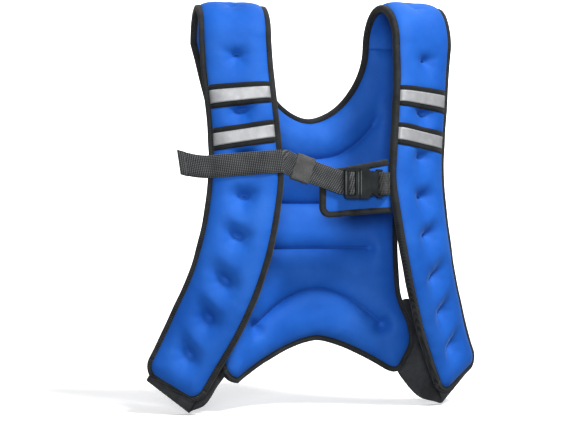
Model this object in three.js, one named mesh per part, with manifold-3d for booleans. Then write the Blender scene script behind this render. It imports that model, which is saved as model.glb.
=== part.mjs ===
import * as THREE from 'three';
import { mergeVertices } from 'three/addons/utils/BufferGeometryUtils.js';
import Module from 'manifold-3d';

// A padded vest with weighted front pads, a padded back panel, bound edges,
// reflective bands, a buckled chest strap and black side bands.
// Millimetres, +Z up. The front faces -Y, the wearer's left is +X.
// The origin is where the shoulder arches rest, on the middle plane.

const wasm = await Module();
wasm.setup();

// Driving sizes of the padded body
const STRAP_SPREAD = 104; // middle plane to the middle of a shoulder strap
const STRAP_WIDTH = 79; // shoulder strap, over its binding
const PAD_WIDTH = 84; // widest part of a front pad, over its binding
const PAD_DROP = 387; // spring of the shoulder arch down to the pad's end
const PAD_CORNER = 15;
const ARCH_RISE = 41; // spring of the arch up to its middle layer
const ARCH_DEPTH = 73; // front to back between the arch's middle layers
const PAD_THICKNESS = 20;
const EDGE_THICKNESS = 5; // flat sewn edge inside the binding
const BACK_THICKNESS = 19;
const EDGE_WIDTH = 9.5;
const PILLOW_RAMP = 16; // distance over which the filling reaches full height
const SEAM_GAP = 0.3;
const LEVEL_LEFT = 1.055; // rise of each arch over the seam, as a share of the drawn one
const LEVEL_RIGHT = 0.89;

// Driving sizes of the back panel
const NECK_DEPTH = 82; // shoulder seam down to the neckline
const BACK_DROP = 340; // shoulder seam down to the corner of a wing
const HEM_DROP = 339; // shoulder seam down to the middle of the hem
const HEM_FALL = 47; // drop of the hem curve at the waist's half width
const WAIST_HALF = 100;
const WING_CORNER = 12;
const WING_END_DROP = 382; // shoulder seam down to the lower end of a wing
const WINGS = {
  right: { flare: 27, reach: 12 },
  left: { flare: 19, reach: -3 },
};

// Driving sizes of the trim
const BINDING_WIDTH = 9;
const BINDING_WALL = 1.1;
const BINDING_FLOOR = 1.2; // clearance between the cloth's cut edge and the binding's fold
const BINDING_SLACK = 0.6; // between the cloth's face and the binding's wall
const CLEARANCE = 0.3;
const TAPE_WIDTH = 24.5;
const TAPE_THICKNESS = 0.8;
const SILVER_WIDTH = 13.5;
const SILVER_THICKNESS = 0.6;

// Driving sizes of the chest strap, its buckle, the flap behind it and the side bands
const WEBBING_WIDTH = 25;
const WEBBING_THICKNESS = 1.6;
const STRAP_HEIGHT = -190.5; // middle of the buckle
const STRAP_FALL = 21; // height that the strap loses from its free end to the buckle
const BUCKLE_START = 6.5; // near side of the ladder
const LADDER_LENGTH = 17;
const LADDER_BAR = 3.2;
const MIDDLE_BAR = 2.6;
const LADDER_DEPTH = 5.6;
const BUCKLE_HEIGHT = 33.5;
const BUCKLE_DEPTH = 9;
const HOUSING_LENGTH = 26;
const HOUSING_WALL = 1.8;
const NOTCH_DEPTH = 6;
const TAIL_OVERHANG = 33; // free end of the strap past the pad's outer edge
const KEEPER_LENGTH = 21;
const KEEPER_WALL = 1.4;
const FLAP_THICKNESS = 4;
const FLAP_TOP = -163;
const FLAP_HEIGHT = 60;
const FLAP_REACH = 76.5; // webbing's root to the flap's free edge
const FLAP_CORNER = 12;
const BAND_THICKNESS = 1.5;
const BAND_LAP = 7;
const BAND_FOLD = 14; // how far the fold stands below the pad's end
const BAND_SAG = 17; // how far the band's lower edge hangs below a straight line
const BAND_TOP_DROP = 294; // shoulder seam down to the band's upper end on the panel's edge

const padHalfThickness = PAD_THICKNESS / 2;
const edgeHalf = EDGE_THICKNESS / 2;
const bindingReach = BINDING_FLOOR + BINDING_WALL;
const seamHeight = padHalfThickness - ARCH_RISE;

// A front pad from the spring of the arch down: lengths as shares of PAD_DROP, STRAP_SPREAD,
// ARCH_DEPTH and PAD_WIDTH; yaw and roll of the section in degrees; slant of the sewn rows
const PAD_SECTIONS = [
  { drop: 0.0, out: 1.062, fore: 0.5, width: 0.95, yaw: 14, roll: 0, slant: 0.0 },
  { drop: 0.088, out: 1.043, fore: 0.534, width: 0.95, yaw: 19, roll: 0, slant: 0.03 },
  { drop: 0.191, out: 1.01, fore: 0.589, width: 0.95, yaw: 20, roll: 0, slant: 0.1 },
  { drop: 0.295, out: 0.979, fore: 0.616, width: 0.97, yaw: 22, roll: 2, slant: 0.17 },
  { drop: 0.398, out: 0.967, fore: 0.616, width: 1.0, yaw: 23, roll: 0, slant: 0.02 },
  { drop: 0.501, out: 1.012, fore: 0.623, width: 1.0, yaw: 26, roll: 6, slant: 0.0 },
  { drop: 0.605, out: 1.087, fore: 0.582, width: 1.0, yaw: 28, roll: 12, slant: 0.0 },
  { drop: 0.708, out: 1.192, fore: 0.459, width: 0.99, yaw: 29, roll: 18, slant: 0.0 },
  { drop: 0.811, out: 1.337, fore: 0.267, width: 0.98, yaw: 29, roll: 24, slant: 0.0 },
  { drop: 0.902, out: 1.486, fore: 0.082, width: 0.93, yaw: 28, roll: 28, slant: 0.0 },
  { drop: 1.0, out: 1.66, fore: -0.075, width: 0.9, yaw: 27, roll: 30, slant: 0.0 },
];

// Tufts down a pad: drop as a share of PAD_DROP, place across as a share of the width,
// dent depth as a share of the pad's half thickness
const TUFTS = [
  { drop: -0.12, across: 0.5, dent: 0.45 },
  { drop: 0.052, across: 0.5, dent: 0.5 },
  { drop: 0.209, across: 0.5, dent: 0.6 },
  { drop: 0.333, across: 0.5, dent: 0.5 },
  { drop: 0.452, across: 0.5, dent: 0.65 },
  { drop: 0.563, across: 0.5, dent: 0.7 },
  { drop: 0.687, across: 0.5, dent: 0.8 },
  { drop: 0.793, across: 0.5, dent: 0.8 },
  { drop: 0.899, across: 0.5, dent: 0.8 },
];
const TUFT_LENGTH = 9;
const TUFT_WIDTH = 17;
const TAPE_PRESS = 0.3; // how far a tape flattens the filling, as a share

// Reflective tapes: middle line as a share of PAD_DROP
const TAPES = [
  { name: 'upper', drop: 0.163 },
  { name: 'lower', drop: 0.278 },
];

// Middle layer of the back panel: drop as a share of BACK_DROP, place behind the origin
// as a share of ARCH_DEPTH, and how far it bows forward at the waist's half width
const BACK_SECTIONS = [
  { drop: 0.0, back: 0.507, bow: 0.012 },
  { drop: 0.056, back: 0.524, bow: 0.03 },
  { drop: 0.115, back: 0.565, bow: 0.06 },
  { drop: 0.232, back: 0.62, bow: 0.11 },
  { drop: 0.35, back: 0.616, bow: 0.15 },
  { drop: 0.497, back: 0.555, bow: 0.19 },
  { drop: 0.644, back: 0.432, bow: 0.19 },
  { drop: 0.791, back: 0.322, bow: 0.19 },
  { drop: 0.909, back: 0.267, bow: 0.18 },
  { drop: 1.0, back: 0.253, bow: 0.18 },
  { drop: 1.15, back: 0.226, bow: 0.18 },
];

// Armhole edge from the shoulder seam down: drop as a share of BACK_DROP, then how much of
// the strap's extra width and of the wing's flare it has beyond the waist's half width
const ARMHOLE = [
  { drop: 0.0, strap: 1.0, wing: 0.0 },
  { drop: 0.068, strap: 0.874, wing: 0.0 },
  { drop: 0.12, strap: 0.767, wing: 0.0 },
  { drop: 0.188, strap: 0.628, wing: 0.0 },
  { drop: 0.291, strap: 0.442, wing: 0.0 },
  { drop: 0.409, strap: 0.244, wing: 0.0 },
  { drop: 0.526, strap: 0.105, wing: 0.0 },
  { drop: 0.629, strap: 0.035, wing: 0.0 },
  { drop: 0.726, strap: 0.0, wing: 0.0 },
  { drop: 0.824, strap: 0.0, wing: 0.03 },
  { drop: 0.876, strap: 0.0, wing: 0.24 },
  { drop: 0.93, strap: 0.0, wing: 0.64 },
];

// Sewn channels across the back: drop at the middle as a share of BACK_DROP, half length as
// a share of WAIST_HALF, fall (or rise, if negative) of the ends as a share of BACK_DROP
const CHANNELS = [
  { drop: 0.823, half: 0.78, fall: 0.122, power: 1.8, dent: 0.8, rows: 3 },
  { drop: 0.688, half: 0.66, fall: 0.0, power: 2.0, dent: 0.7, rows: 3 },
  { drop: 0.535, half: 0.6, fall: 0.0, power: 2.0, dent: 0.55, rows: 4 },
  { drop: 0.38, half: 0.78, fall: -0.12, power: 2.6, dent: 0.7, rows: 3 },
];
const YOKE_ROWS = 7;
const NECK_CURVE = 1.8;

const vec = (x, y, z) => new THREE.Vector3(x, y, z);
const mix = (a, b, t) => a + (b - a) * t;
const clamp01 = (t) => Math.min(1, Math.max(0, t));
const radians = THREE.MathUtils.degToRad;

// A smooth reading of a table of rows at any value of its first column
function smoothTable(rows, key) {
  const names = Object.keys(rows[0]).filter((name) => name !== key);
  const keys = rows.map((row) => row[key]);
  const values = rows.flatMap((row) => names.map((name) => row[name]));
  const curve = new THREE.CubicInterpolant(keys, values, names.length);
  return (at) => {
    const clamped = Math.min(keys.at(-1), Math.max(keys[0], at));
    const found = Array.from(curve.evaluate(clamped));
    return Object.fromEntries(names.map((name, i) => [name, found[i]]));
  };
}

// Height of the filling over the flat edge, as a share, at a distance inside the sewn line
function pillowShare(distance) {
  const t = clamp01(distance / PILLOW_RAMP);
  return Math.sqrt(1 - (1 - t) ** 2);
}

// Solids from grids, sweeps and outlines
function geometryOf(positions, triangles) {
  const geometry = new THREE.BufferGeometry();
  geometry.setAttribute('position', new THREE.Float32BufferAttribute(positions, 3));
  geometry.setIndex(triangles);
  return geometry;
}

function faceOutward(geometry) {
  const p = geometry.getAttribute('position');
  const index = geometry.getIndex().array;
  const corner = (i) => vec(p.getX(i), p.getY(i), p.getZ(i));
  let volume = 0;
  for (let i = 0; i < index.length; i += 3) {
    volume += corner(index[i]).dot(corner(index[i + 1]).cross(corner(index[i + 2])));
  }
  if (volume < 0) {
    for (let i = 0; i < index.length; i += 3) {
      [index[i], index[i + 1]] = [index[i + 1], index[i]];
    }
  }
  return geometry;
}

// A closed slab between two point grids of the same size
function slab(upper, lower) {
  const rows = upper.length;
  const columns = upper[0].length;
  const positions = [...upper.flat(), ...lower.flat()].flatMap((point) => point.toArray());
  const top = (i, j) => i * columns + j;
  const under = (i, j) => rows * columns + top(i, j);
  const triangles = [];
  const quad = (a, b, c, d) => triangles.push(a, b, c, a, c, d);
  for (let i = 0; i < rows - 1; i += 1) {
    for (let j = 0; j < columns - 1; j += 1) {
      quad(top(i, j), top(i, j + 1), top(i + 1, j + 1), top(i + 1, j));
      quad(under(i, j), under(i + 1, j), under(i + 1, j + 1), under(i, j + 1));
    }
    quad(top(i, 0), top(i + 1, 0), under(i + 1, 0), under(i, 0));
    quad(top(i + 1, columns - 1), top(i, columns - 1), under(i, columns - 1), under(i + 1, columns - 1));
  }
  for (let j = 0; j < columns - 1; j += 1) {
    quad(top(0, j + 1), top(0, j), under(0, j), under(0, j + 1));
    quad(top(rows - 1, j), top(rows - 1, j + 1), under(rows - 1, j + 1), under(rows - 1, j));
  }
  return faceOutward(geometryOf(positions, triangles));
}

// A closed outline in each station's plane, carried from station to station
function sweep(stations, profile) {
  const flat = profile.map(([b, n]) => new THREE.Vector2(b, n));
  const outline = THREE.ShapeUtils.isClockWise(flat) ? flat.reverse() : flat;
  const sides = outline.length;
  const positions = stations.flatMap(({ point, across, normal }) => outline.flatMap(({ x, y }) => (
    point.clone().addScaledVector(across, x).addScaledVector(normal, y).toArray()
  )));
  const triangles = [];
  for (let i = 0; i < stations.length - 1; i += 1) {
    for (let j = 0; j < sides; j += 1) {
      const side = (j + 1) % sides;
      const [a, b] = [i * sides + j, i * sides + side];
      const [c, d] = [b + sides, a + sides];
      triangles.push(a, b, c, a, c, d);
    }
  }
  const last = (stations.length - 1) * sides;
  THREE.ShapeUtils.triangulateShape(outline, []).forEach(([a, b, c]) => (
    triangles.push(a, c, b, last + a, last + b, last + c)
  ));
  return faceOutward(geometryOf(positions, triangles));
}

// An outline in the X-Z plane, as thick along Y as asked
function plateFrom(outline, nearY, farY) {
  const shape = new THREE.Shape(outline.map(([x, z]) => new THREE.Vector2(x, z)));
  const geometry = new THREE.ExtrudeGeometry(shape, { depth: farY - nearY, bevelEnabled: false });
  geometry.rotateX(Math.PI / 2);
  geometry.translate(0, farY, 0);
  return geometry;
}

function boxBetween(low, high) {
  const size = high.clone().sub(low);
  const geometry = new THREE.BoxGeometry(size.x, size.y, size.z);
  geometry.translate(...low.clone().addScaledVector(size, 0.5).toArray());
  return geometry;
}

function toSolid(geometry) {
  const bare = geometry.clone();
  bare.deleteAttribute('normal');
  bare.deleteAttribute('uv');
  const merged = mergeVertices(bare, 1e-4);
  return new wasm.Manifold(new wasm.Mesh({
    numProp: 3,
    vertProperties: new Float32Array(merged.getAttribute('position').array),
    triVerts: new Uint32Array(merged.getIndex().array),
  }));
}

function fromSolid(solid) {
  const mesh = solid.getMesh();
  return geometryOf(Array.from(mesh.vertProperties), Array.from(mesh.triVerts));
}

// The same geometry on the other side of the middle plane
function forHand(geometry, hand) {
  if (hand === 1) {
    return geometry;
  }
  return faceOutward(geometry.clone().scale(-1, 1, 1));
}

// Middle layer of the back panel
const backTable = smoothTable(BACK_SECTIONS, 'drop');

function backPoint(x, z) {
  const row = backTable((seamHeight - z) / BACK_DROP);
  const bow = row.bow * (x / WAIST_HALF) ** 2;
  return vec(x, (row.back - bow) * ARCH_DEPTH, z);
}

function backNormal(x, z) {
  const step = 1;
  const alongX = backPoint(x + step, z).sub(backPoint(x - step, z));
  const alongZ = backPoint(x, z + step).sub(backPoint(x, z - step));
  return alongZ.cross(alongX).normalize();
}

// Middle layer of a shoulder strap and front pad, on the +X side. The path is measured down
// from the front spring of the arch; negative values run back over the arch to the seam.
const padTable = smoothTable(PAD_SECTIONS, 'drop');
const archLength = Math.PI * Math.sqrt((ARCH_RISE ** 2 + (ARCH_DEPTH / 2) ** 2) / 2);
const sewnWidth = (overall) => overall - 2 * bindingReach;
const strapInner = STRAP_SPREAD - STRAP_WIDTH / 2;
const strapOuter = STRAP_SPREAD + STRAP_WIDTH / 2;

function frontSection(path) {
  const row = padTable(path / PAD_DROP);
  const [yaw, roll] = [radians(row.yaw), radians(row.roll)];
  return {
    middle: vec(row.out * STRAP_SPREAD, -row.fore * ARCH_DEPTH, seamHeight - path),
    across: vec(Math.cos(yaw) * Math.cos(roll), Math.sin(yaw) * Math.cos(roll), Math.sin(roll)),
    width: sewnWidth(row.width * PAD_WIDTH),
    slant: row.slant,
  };
}

function padSection(path) {
  if (path >= 0) {
    return frontSection(path);
  }
  const angle = Math.PI * (1 + path / archLength);
  const share = (1 - Math.cos(angle)) / 2;
  const front = frontSection(0);
  const inner = backPoint(strapInner + bindingReach, seamHeight);
  const outer = backPoint(strapOuter - bindingReach, seamHeight);
  const rear = inner.clone().add(outer).multiplyScalar(0.5);
  const middle = rear.clone().lerp(front.middle, share);
  middle.z = seamHeight + ARCH_RISE * Math.sin(angle);
  return {
    middle,
    across: outer.clone().sub(inner).normalize().lerp(front.across, share).normalize(),
    width: mix(outer.distanceTo(inner), front.width, share),
    slant: 0,
  };
}

// A point of the pad's middle layer: path along it and distance from its inner edge
function padPoint(path, side) {
  const rough = padSection(path);
  const section = padSection(path + rough.slant * (side - rough.width / 2));
  return section.middle.clone().addScaledVector(section.across, side - section.width / 2);
}

function padNormal(path, side) {
  const step = 1;
  const low = -archLength;
  const from = Math.max(low, path - step);
  const along = padPoint(from + 2 * step, side).sub(padPoint(from, side));
  const across = padPoint(path, side + step).sub(padPoint(path, side - step));
  return along.cross(across).normalize();
}

// Rounding of the two corners at the pad's end: a square corner block is drawn onto a
// quarter disc. Both distances are measured from the edges.
function roundCorner(fromEnd, fromSide) {
  const [a, b] = [PAD_CORNER - fromEnd, PAD_CORNER - fromSide];
  if (a <= 0 || b <= 0) {
    return [fromEnd, fromSide];
  }
  const limit = 2 * PAD_CORNER ** 2;
  return [
    PAD_CORNER - a * Math.sqrt(1 - b ** 2 / limit),
    PAD_CORNER - b * Math.sqrt(1 - a ** 2 / limit),
  ];
}

function edgeDistance(fromEnd, fromSide) {
  const [a, b] = [PAD_CORNER - fromEnd, PAD_CORNER - fromSide];
  if (a > 0 && b > 0) {
    return PAD_CORNER - Math.hypot(a, b);
  }
  return Math.min(fromEnd, fromSide);
}

// Half thickness of a pad: the flat edge, the filling and the tufts' dents
function padHalf(path, side) {
  const { width } = padSection(path);
  const fromSide = Math.min(side, width - side);
  const inside = edgeDistance(PAD_DROP - path, fromSide) - EDGE_WIDTH;
  const filled = (padHalfThickness - edgeHalf) * pillowShare(inside);
  const dent = TUFTS.reduce((most, tuft) => {
    const along = (path - tuft.drop * PAD_DROP) / TUFT_LENGTH;
    const sideways = (side - tuft.across * width) / TUFT_WIDTH;
    return Math.max(most, tuft.dent * Math.exp(-(along ** 2) - sideways ** 2));
  }, 0);
  const flattened = TAPES.reduce((most, tape) => {
    const along = (path - tape.drop * PAD_DROP) / TAPE_WIDTH;
    return Math.max(most, TAPE_PRESS * Math.exp(-((2 * along) ** 4)));
  }, 0);
  return edgeHalf + filled * (1 - Math.max(dent, flattened));
}

// Rows of the pad's grid: the seam, each tuft, each tape's edges and middle, and the end
const ROW_PITCH = 24;
const ARCH_PITCH = 16;
const tapeRows = TAPES.flatMap(({ drop }) => [-0.5, 0, 0.5].map((k) => drop * PAD_DROP + k * TAPE_WIDTH));
const tuftRows = TUFTS.map(({ drop }) => drop * PAD_DROP)
  .filter((row) => tapeRows.every((tape) => Math.abs(tape - row) > ROW_PITCH / 3));
const endRows = [PAD_CORNER, EDGE_WIDTH, EDGE_WIDTH / 2, 0].map((fromEnd) => PAD_DROP - fromEnd);
const fixedRows = [-archLength + SEAM_GAP / 2, 0, ...tapeRows, ...tuftRows, ...endRows]
  .sort((a, b) => a - b);
const padRows = fixedRows.flatMap((row, i) => {
  if (i === 0) {
    return [row];
  }
  const before = fixedRows[i - 1];
  const steps = Math.ceil((row - before) / (row > 0 ? ROW_PITCH : ARCH_PITCH));
  return Array.from({ length: steps }, (_, k) => mix(before, row, (k + 1) / steps));
});

// Distances across the pad of the grid's columns
const INNER_SPANS = 6;
function padColumns(width) {
  const spans = Array.from({ length: INNER_SPANS + 1 }, (_, k) => (
    mix(EDGE_WIDTH, width - EDGE_WIDTH, k / INNER_SPANS)
  ));
  return [0, ...spans, width];
}

function padNode(path, column) {
  const { width } = padSection(path);
  const side = padColumns(width)[column];
  const outerHalf = side > width / 2;
  const [fromEnd, fromSide] = roundCorner(PAD_DROP - path, outerHalf ? width - side : side);
  const at = [PAD_DROP - fromEnd, outerHalf ? width - fromSide : fromSide];
  return { point: padPoint(...at), normal: padNormal(...at), half: padHalf(...at) };
}

const padGrid = padRows.map((path) => padColumns(1).map((_, column) => padNode(path, column)));

function padBody() {
  const face = (sign) => padGrid.map((row) => row.map(({ point, normal, half }) => (
    point.clone().addScaledVector(normal, sign * half)
  )));
  return slab(face(1), face(-1));
}

// Outlines of the back panel, as [x, z], over the binding
const drop = (share) => seamHeight - share * BACK_DROP;
const hemHeight = (x) => seamHeight - HEM_DROP - HEM_FALL * (Math.abs(x) / WAIST_HALF) ** 1.5;

function bend(from, corner, to, steps) {
  const curve = new THREE.QuadraticBezierCurve(
    new THREE.Vector2(...from),
    new THREE.Vector2(...corner),
    new THREE.Vector2(...to),
  );
  return curve.getPoints(steps).map((p) => [p.x, p.y]);
}

function towards(from, to, length) {
  const whole = Math.hypot(to[0] - from[0], to[1] - from[1]);
  return [mix(from[0], to[0], length / whole), mix(from[1], to[1], length / whole)];
}

// Outer edge of one half from the shoulder seam down to the middle of the hem, and the
// place in it where the hem begins
const ARMHOLE_STEPS = 18;
const HEM_STEPS = 7;
function sideOutline({ flare, reach }) {
  const rows = ARMHOLE.map(({ drop: share, strap, wing }) => (
    [WAIST_HALF + strap * (strapOuter - WAIST_HALF) + wing * flare, drop(share)]
  ));
  const curve = new THREE.SplineCurve(rows.map((row) => new THREE.Vector2(...row)));
  const edge = curve.getSpacedPoints(ARMHOLE_STEPS).map((p) => [p.x, p.y]);
  const upper = [WAIST_HALF + flare, drop(1)];
  const lower = [WAIST_HALF + reach, seamHeight - WING_END_DROP];
  const hemStart = WAIST_HALF + reach - WING_CORNER;
  const hem = Array.from({ length: HEM_STEPS + 1 }, (_, k) => {
    const x = hemStart * (1 - k / HEM_STEPS);
    return [x, hemHeight(x)];
  });
  const wingTop = bend(edge.at(-1), upper, towards(upper, lower, WING_CORNER), 3);
  const wingEnd = bend(towards(lower, upper, WING_CORNER), lower, hem[0], 3);
  const armhole = [...edge, ...wingTop.slice(1)];
  return { line: [...armhole, ...wingEnd, ...hem.slice(1)], hemStart: armhole.length };
}

const flip = (points) => points.map(([x, z]) => [-x, z]).reverse();
const leftSide = sideOutline(WINGS.left);
const rightSide = sideOutline(WINGS.right);
const outerLine = [...leftSide.line, ...flip(rightSide.line).slice(1)];

const NECK_STEPS = 18;
const neckLine = Array.from({ length: NECK_STEPS + 1 }, (_, k) => {
  const angle = Math.PI * (k / NECK_STEPS);
  const [c, s] = [Math.cos(angle), Math.sin(angle)];
  const bent = (value) => Math.sign(value) * Math.abs(value) ** (2 / NECK_CURVE);
  return [-strapInner * bent(c), seamHeight - NECK_DEPTH * bent(Math.abs(s) < 1e-9 ? 0 : s)];
});

// Unit vectors that point out of the cloth along an open outline walked clockwise
function outwardAlong(points) {
  return points.map((_, i) => {
    const before = points[Math.max(0, i - 1)];
    const after = points[Math.min(points.length - 1, i + 1)];
    const [dx, dz] = [after[0] - before[0], after[1] - before[1]];
    const length = Math.hypot(dx, dz);
    return [-dz / length, dx / length];
  });
}

// An outline moved into the cloth; its two ends stay at the shoulder seam
function inset(points, distance) {
  const outward = outwardAlong(points);
  return points.map(([x, z], i) => {
    const atSeam = i === 0 || i === points.length - 1;
    if (atSeam) {
      return [x - distance / outward[i][0], z];
    }
    return [x - outward[i][0] * distance, z - outward[i][1] * distance];
  });
}

const seamTop = (points) => points.map(([x, z], i) => (
  i === 0 || i === points.length - 1 ? [x, z - SEAM_GAP / 2] : [x, z]
));

function distanceTo(points, x, z) {
  let nearest = Infinity;
  for (let i = 0; i < points.length - 1; i += 1) {
    const [ax, az] = points[i];
    const [bx, bz] = points[i + 1];
    const along = ((x - ax) * (bx - ax) + (z - az) * (bz - az)) / ((bx - ax) ** 2 + (bz - az) ** 2);
    const t = clamp01(along);
    nearest = Math.min(nearest, Math.hypot(x - mix(ax, bx, t), z - mix(az, bz, t)));
  }
  return nearest;
}

// Points of an inset line that a tight corner folded back over the line are left out
const FOLD_TOLERANCE = 0.97;
function unfolded(points, line, distance) {
  return points.filter(([x, z]) => distanceTo(line, x, z) > FOLD_TOLERANCE * distance);
}

function panelOutline(distance) {
  const lines = [outerLine, neckLine].map((line) => (
    unfolded(seamTop(inset(line, distance)), line, distance)
  ));
  return lines.flat();
}

// Height of a sewn channel at x
function channelHeight(channel, x) {
  const share = Math.abs(x) / (channel.half * WAIST_HALF);
  const reach = Math.min(share, 1) ** channel.power + Math.max(share - 1, 0) * channel.power;
  return drop(channel.drop + channel.fall * reach);
}

const CHANNEL_WIDTH = 7;
function channelDent(x, z) {
  return CHANNELS.reduce((most, channel) => {
    const off = (z - channelHeight(channel, x)) / CHANNEL_WIDTH;
    const past = Math.max(0, Math.abs(x) - channel.half * WAIST_HALF) / CHANNEL_WIDTH;
    return Math.max(most, channel.dent * Math.exp(-(off ** 2) - past ** 2));
  }, 0);
}

const sewnInset = bindingReach + EDGE_WIDTH;
const sewnOuter = unfolded(inset(outerLine, sewnInset), outerLine, sewnInset);
const sewnNeck = inset(neckLine, sewnInset);
const sewnOutline = panelOutline(sewnInset);
function inPanel(x, z) {
  const outline = sewnOutline;
  let inside = false;
  outline.forEach(([ax, az], i) => {
    const [bx, bz] = outline[(i + 1) % outline.length];
    const crosses = (az > z) !== (bz > z) && x < ax + ((bx - ax) * (z - az)) / (bz - az);
    inside = crosses ? !inside : inside;
  });
  return inside;
}

function backHalf(x, z) {
  if (!inPanel(x, Math.min(z, seamHeight - 1))) {
    return edgeHalf;
  }
  const inside = Math.min(distanceTo(sewnOuter, x, z), distanceTo(sewnNeck, x, z));
  const filled = (BACK_THICKNESS / 2 - edgeHalf) * pillowShare(inside);
  return edgeHalf + filled * (1 - channelDent(x, z));
}

// Back panel: a grid whose rows follow the hem, the channels and the shoulder seam, cut to
// the outline. The flat edge and the filled middle are cut apart and joined.
const COLUMN_PITCH = 15;
const GRID_MARGIN = 12;
function backGrid() {
  const half = Math.max(strapOuter, WAIST_HALF + WINGS.right.flare) + GRID_MARGIN;
  const columns = Math.ceil((2 * half) / COLUMN_PITCH);
  const guides = [
    { height: (x) => hemHeight(x) - 2 * GRID_MARGIN, rows: 1 },
    { height: (x) => hemHeight(x) - 1, rows: 2 },
    ...CHANNELS.map((channel) => ({ height: (x) => channelHeight(channel, x), rows: channel.rows })),
    { height: () => seamHeight + GRID_MARGIN, rows: YOKE_ROWS },
  ];
  const rows = guides.flatMap((guide, k) => {
    if (k === 0) {
      return [guide.height];
    }
    const below = guides[k - 1].height;
    return Array.from({ length: guide.rows }, (_, i) => (
      (x) => mix(below(x), Math.max(guide.height(x), below(x) + guide.rows), (i + 1) / guide.rows)
    ));
  });
  return rows.map((height) => Array.from({ length: columns + 1 }, (_, j) => {
    const x = mix(-half, half, j / columns);
    return [x, height(x)];
  }));
}

function panelSlab(grid, halfAt) {
  const face = (sign) => grid.map((row) => row.map(([x, z]) => (
    backPoint(x, z).addScaledVector(backNormal(x, z), sign * halfAt(x, z))
  )));
  return toSolid(slab(face(1), face(-1)));
}

function backPanel() {
  const grid = backGrid();
  const cutter = (distance) => toSolid(plateFrom(panelOutline(distance), -ARCH_DEPTH, 2 * ARCH_DEPTH));
  const flat = panelSlab(grid, () => edgeHalf).intersect(cutter(bindingReach));
  const filled = panelSlab(grid, backHalf).intersect(cutter(sewnInset));
  return fromSolid(flat.add(filled));
}

// Bindings: a folded tape, C-shaped in section, along an edge of cloth of a given half thickness
function bindingProfile(half) {
  const wallIn = half + BINDING_SLACK;
  const wallOut = wallIn + BINDING_WALL;
  const lip = bindingReach - BINDING_WIDTH;
  return [
    [lip, wallOut],
    [bindingReach, wallOut],
    [bindingReach, -wallOut],
    [lip, -wallOut],
    [lip, -wallIn],
    [BINDING_FLOOR, -wallIn],
    [BINDING_FLOOR, wallIn],
    [lip, wallIn],
  ];
}

const bindingHalf = edgeHalf + BINDING_SLACK + BINDING_WALL;

// Stations along an edge of the cloth: across points out of the cloth, in its plane
function edgeStations(nodes) {
  return nodes.map(({ point, normal, outward }, i) => {
    const before = nodes[Math.max(0, i - 1)].point;
    const after = nodes[Math.min(nodes.length - 1, i + 1)].point;
    const across = after.clone().sub(before).cross(normal).normalize();
    return { point, normal, across: across.multiplyScalar(Math.sign(across.dot(outward))) };
  });
}

function panelNodes(line) {
  const outward = outwardAlong(line);
  return inset(line, bindingReach).map(([x, z], i) => {
    const [dx, dz] = outward[i];
    const point = backPoint(x, z);
    return { point, normal: backNormal(x, z), outward: backPoint(x + dx, z + dz).sub(point) };
  });
}

const mirrorNodes = (nodes) => nodes.map((node) => Object.fromEntries(
  Object.entries(node).map(([name, value]) => [name, value.isVector3 ? value.clone().setX(-value.x) : value]),
));

const lastColumn = padGrid[0].length - 1;
const lastRow = padGrid.length - 1;
const padEdge = (row, column) => {
  const inRow = Math.min(row, lastRow - 1);
  const inColumn = Math.min(Math.max(column, 1), lastColumn - 1);
  const node = padGrid[row][column];
  return { ...node, outward: node.point.clone().sub(padGrid[inRow][inColumn].point) };
};
const padInner = padGrid.map((_, row) => padEdge(row, 0));
const padOuter = padGrid.map((_, row) => padEdge(row, lastColumn));
const padEnd = padGrid[lastRow].map((_, column) => padEdge(lastRow, column));

// Stations without the first and last, whose neighbours are shifted back by half a clearance:
// two bindings that meet share their outermost nodes and keep parallel ends
function trimmed(stations) {
  const kept = stations.slice(1, -1);
  const shift = (station, next) => {
    const along = next.point.clone().sub(station.point).normalize();
    return { ...station, point: station.point.clone().addScaledVector(along, CLEARANCE / 2) };
  };
  return [shift(kept[0], kept[1]), ...kept.slice(1, -1), shift(kept.at(-1), kept.at(-2))];
}

// The rounded corners belong to the pad's end binding
const CORNER_ROWS = 3;
const sideNodes = (nodes) => nodes.slice(0, nodes.length - CORNER_ROWS + 1);
const cornerNodes = (nodes) => nodes.slice(-CORNER_ROWS - 2, -1);

function neckBinding() {
  const neck = panelNodes(neckLine).slice(1, -1);
  const leftPad = sideNodes(padInner);
  const stations = edgeStations([...mirrorNodes(leftPad).reverse(), ...neck, ...leftPad]);
  return sweep(trimmed(stations), bindingProfile(edgeHalf));
}

function armholeBinding({ line, hemStart }) {
  const nodes = [...sideNodes(padOuter).reverse(), ...panelNodes(line).slice(1, hemStart + 2)];
  return sweep(trimmed(edgeStations(nodes)), bindingProfile(edgeHalf));
}

function padEndBinding() {
  const nodes = [...cornerNodes(padInner), ...padEnd, ...cornerNodes(padOuter).reverse()];
  return sweep(trimmed(edgeStations(nodes)), bindingProfile(edgeHalf));
}

function hemBinding() {
  const last = outerLine.length - rightSide.hemStart;
  const nodes = panelNodes(outerLine).slice(leftSide.hemStart - 1, last + 1);
  return sweep(trimmed(edgeStations(nodes)), bindingProfile(edgeHalf));
}

// Reflective tapes: thin strips sewn across a pad between its bindings, each on three rows
// of the pad's grid, with a narrower silver strip on top
const sewnSides = (row) => row.slice(1, -1);

function padSkin(row, lift) {
  return sewnSides(row).map(({ point, normal, half }) => point.clone().addScaledVector(normal, half + lift));
}

function stripOnPad(tape, width, low, high) {
  const middle = padRows.findIndex((row) => Math.abs(row - tape.drop * PAD_DROP) < 1e-6);
  const [above, centre, below] = [-1, 0, 1].map((k) => padGrid[middle + k]);
  const share = width / TAPE_WIDTH;
  const face = (lift) => {
    const [a, c, b] = [above, centre, below].map((row) => padSkin(row, lift));
    const towardsRow = (row) => c.map((point, j) => point.clone().lerp(row[j], share));
    return [towardsRow(a), c, towardsRow(b)];
  };
  return slab(face(high), face(low));
}

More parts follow.
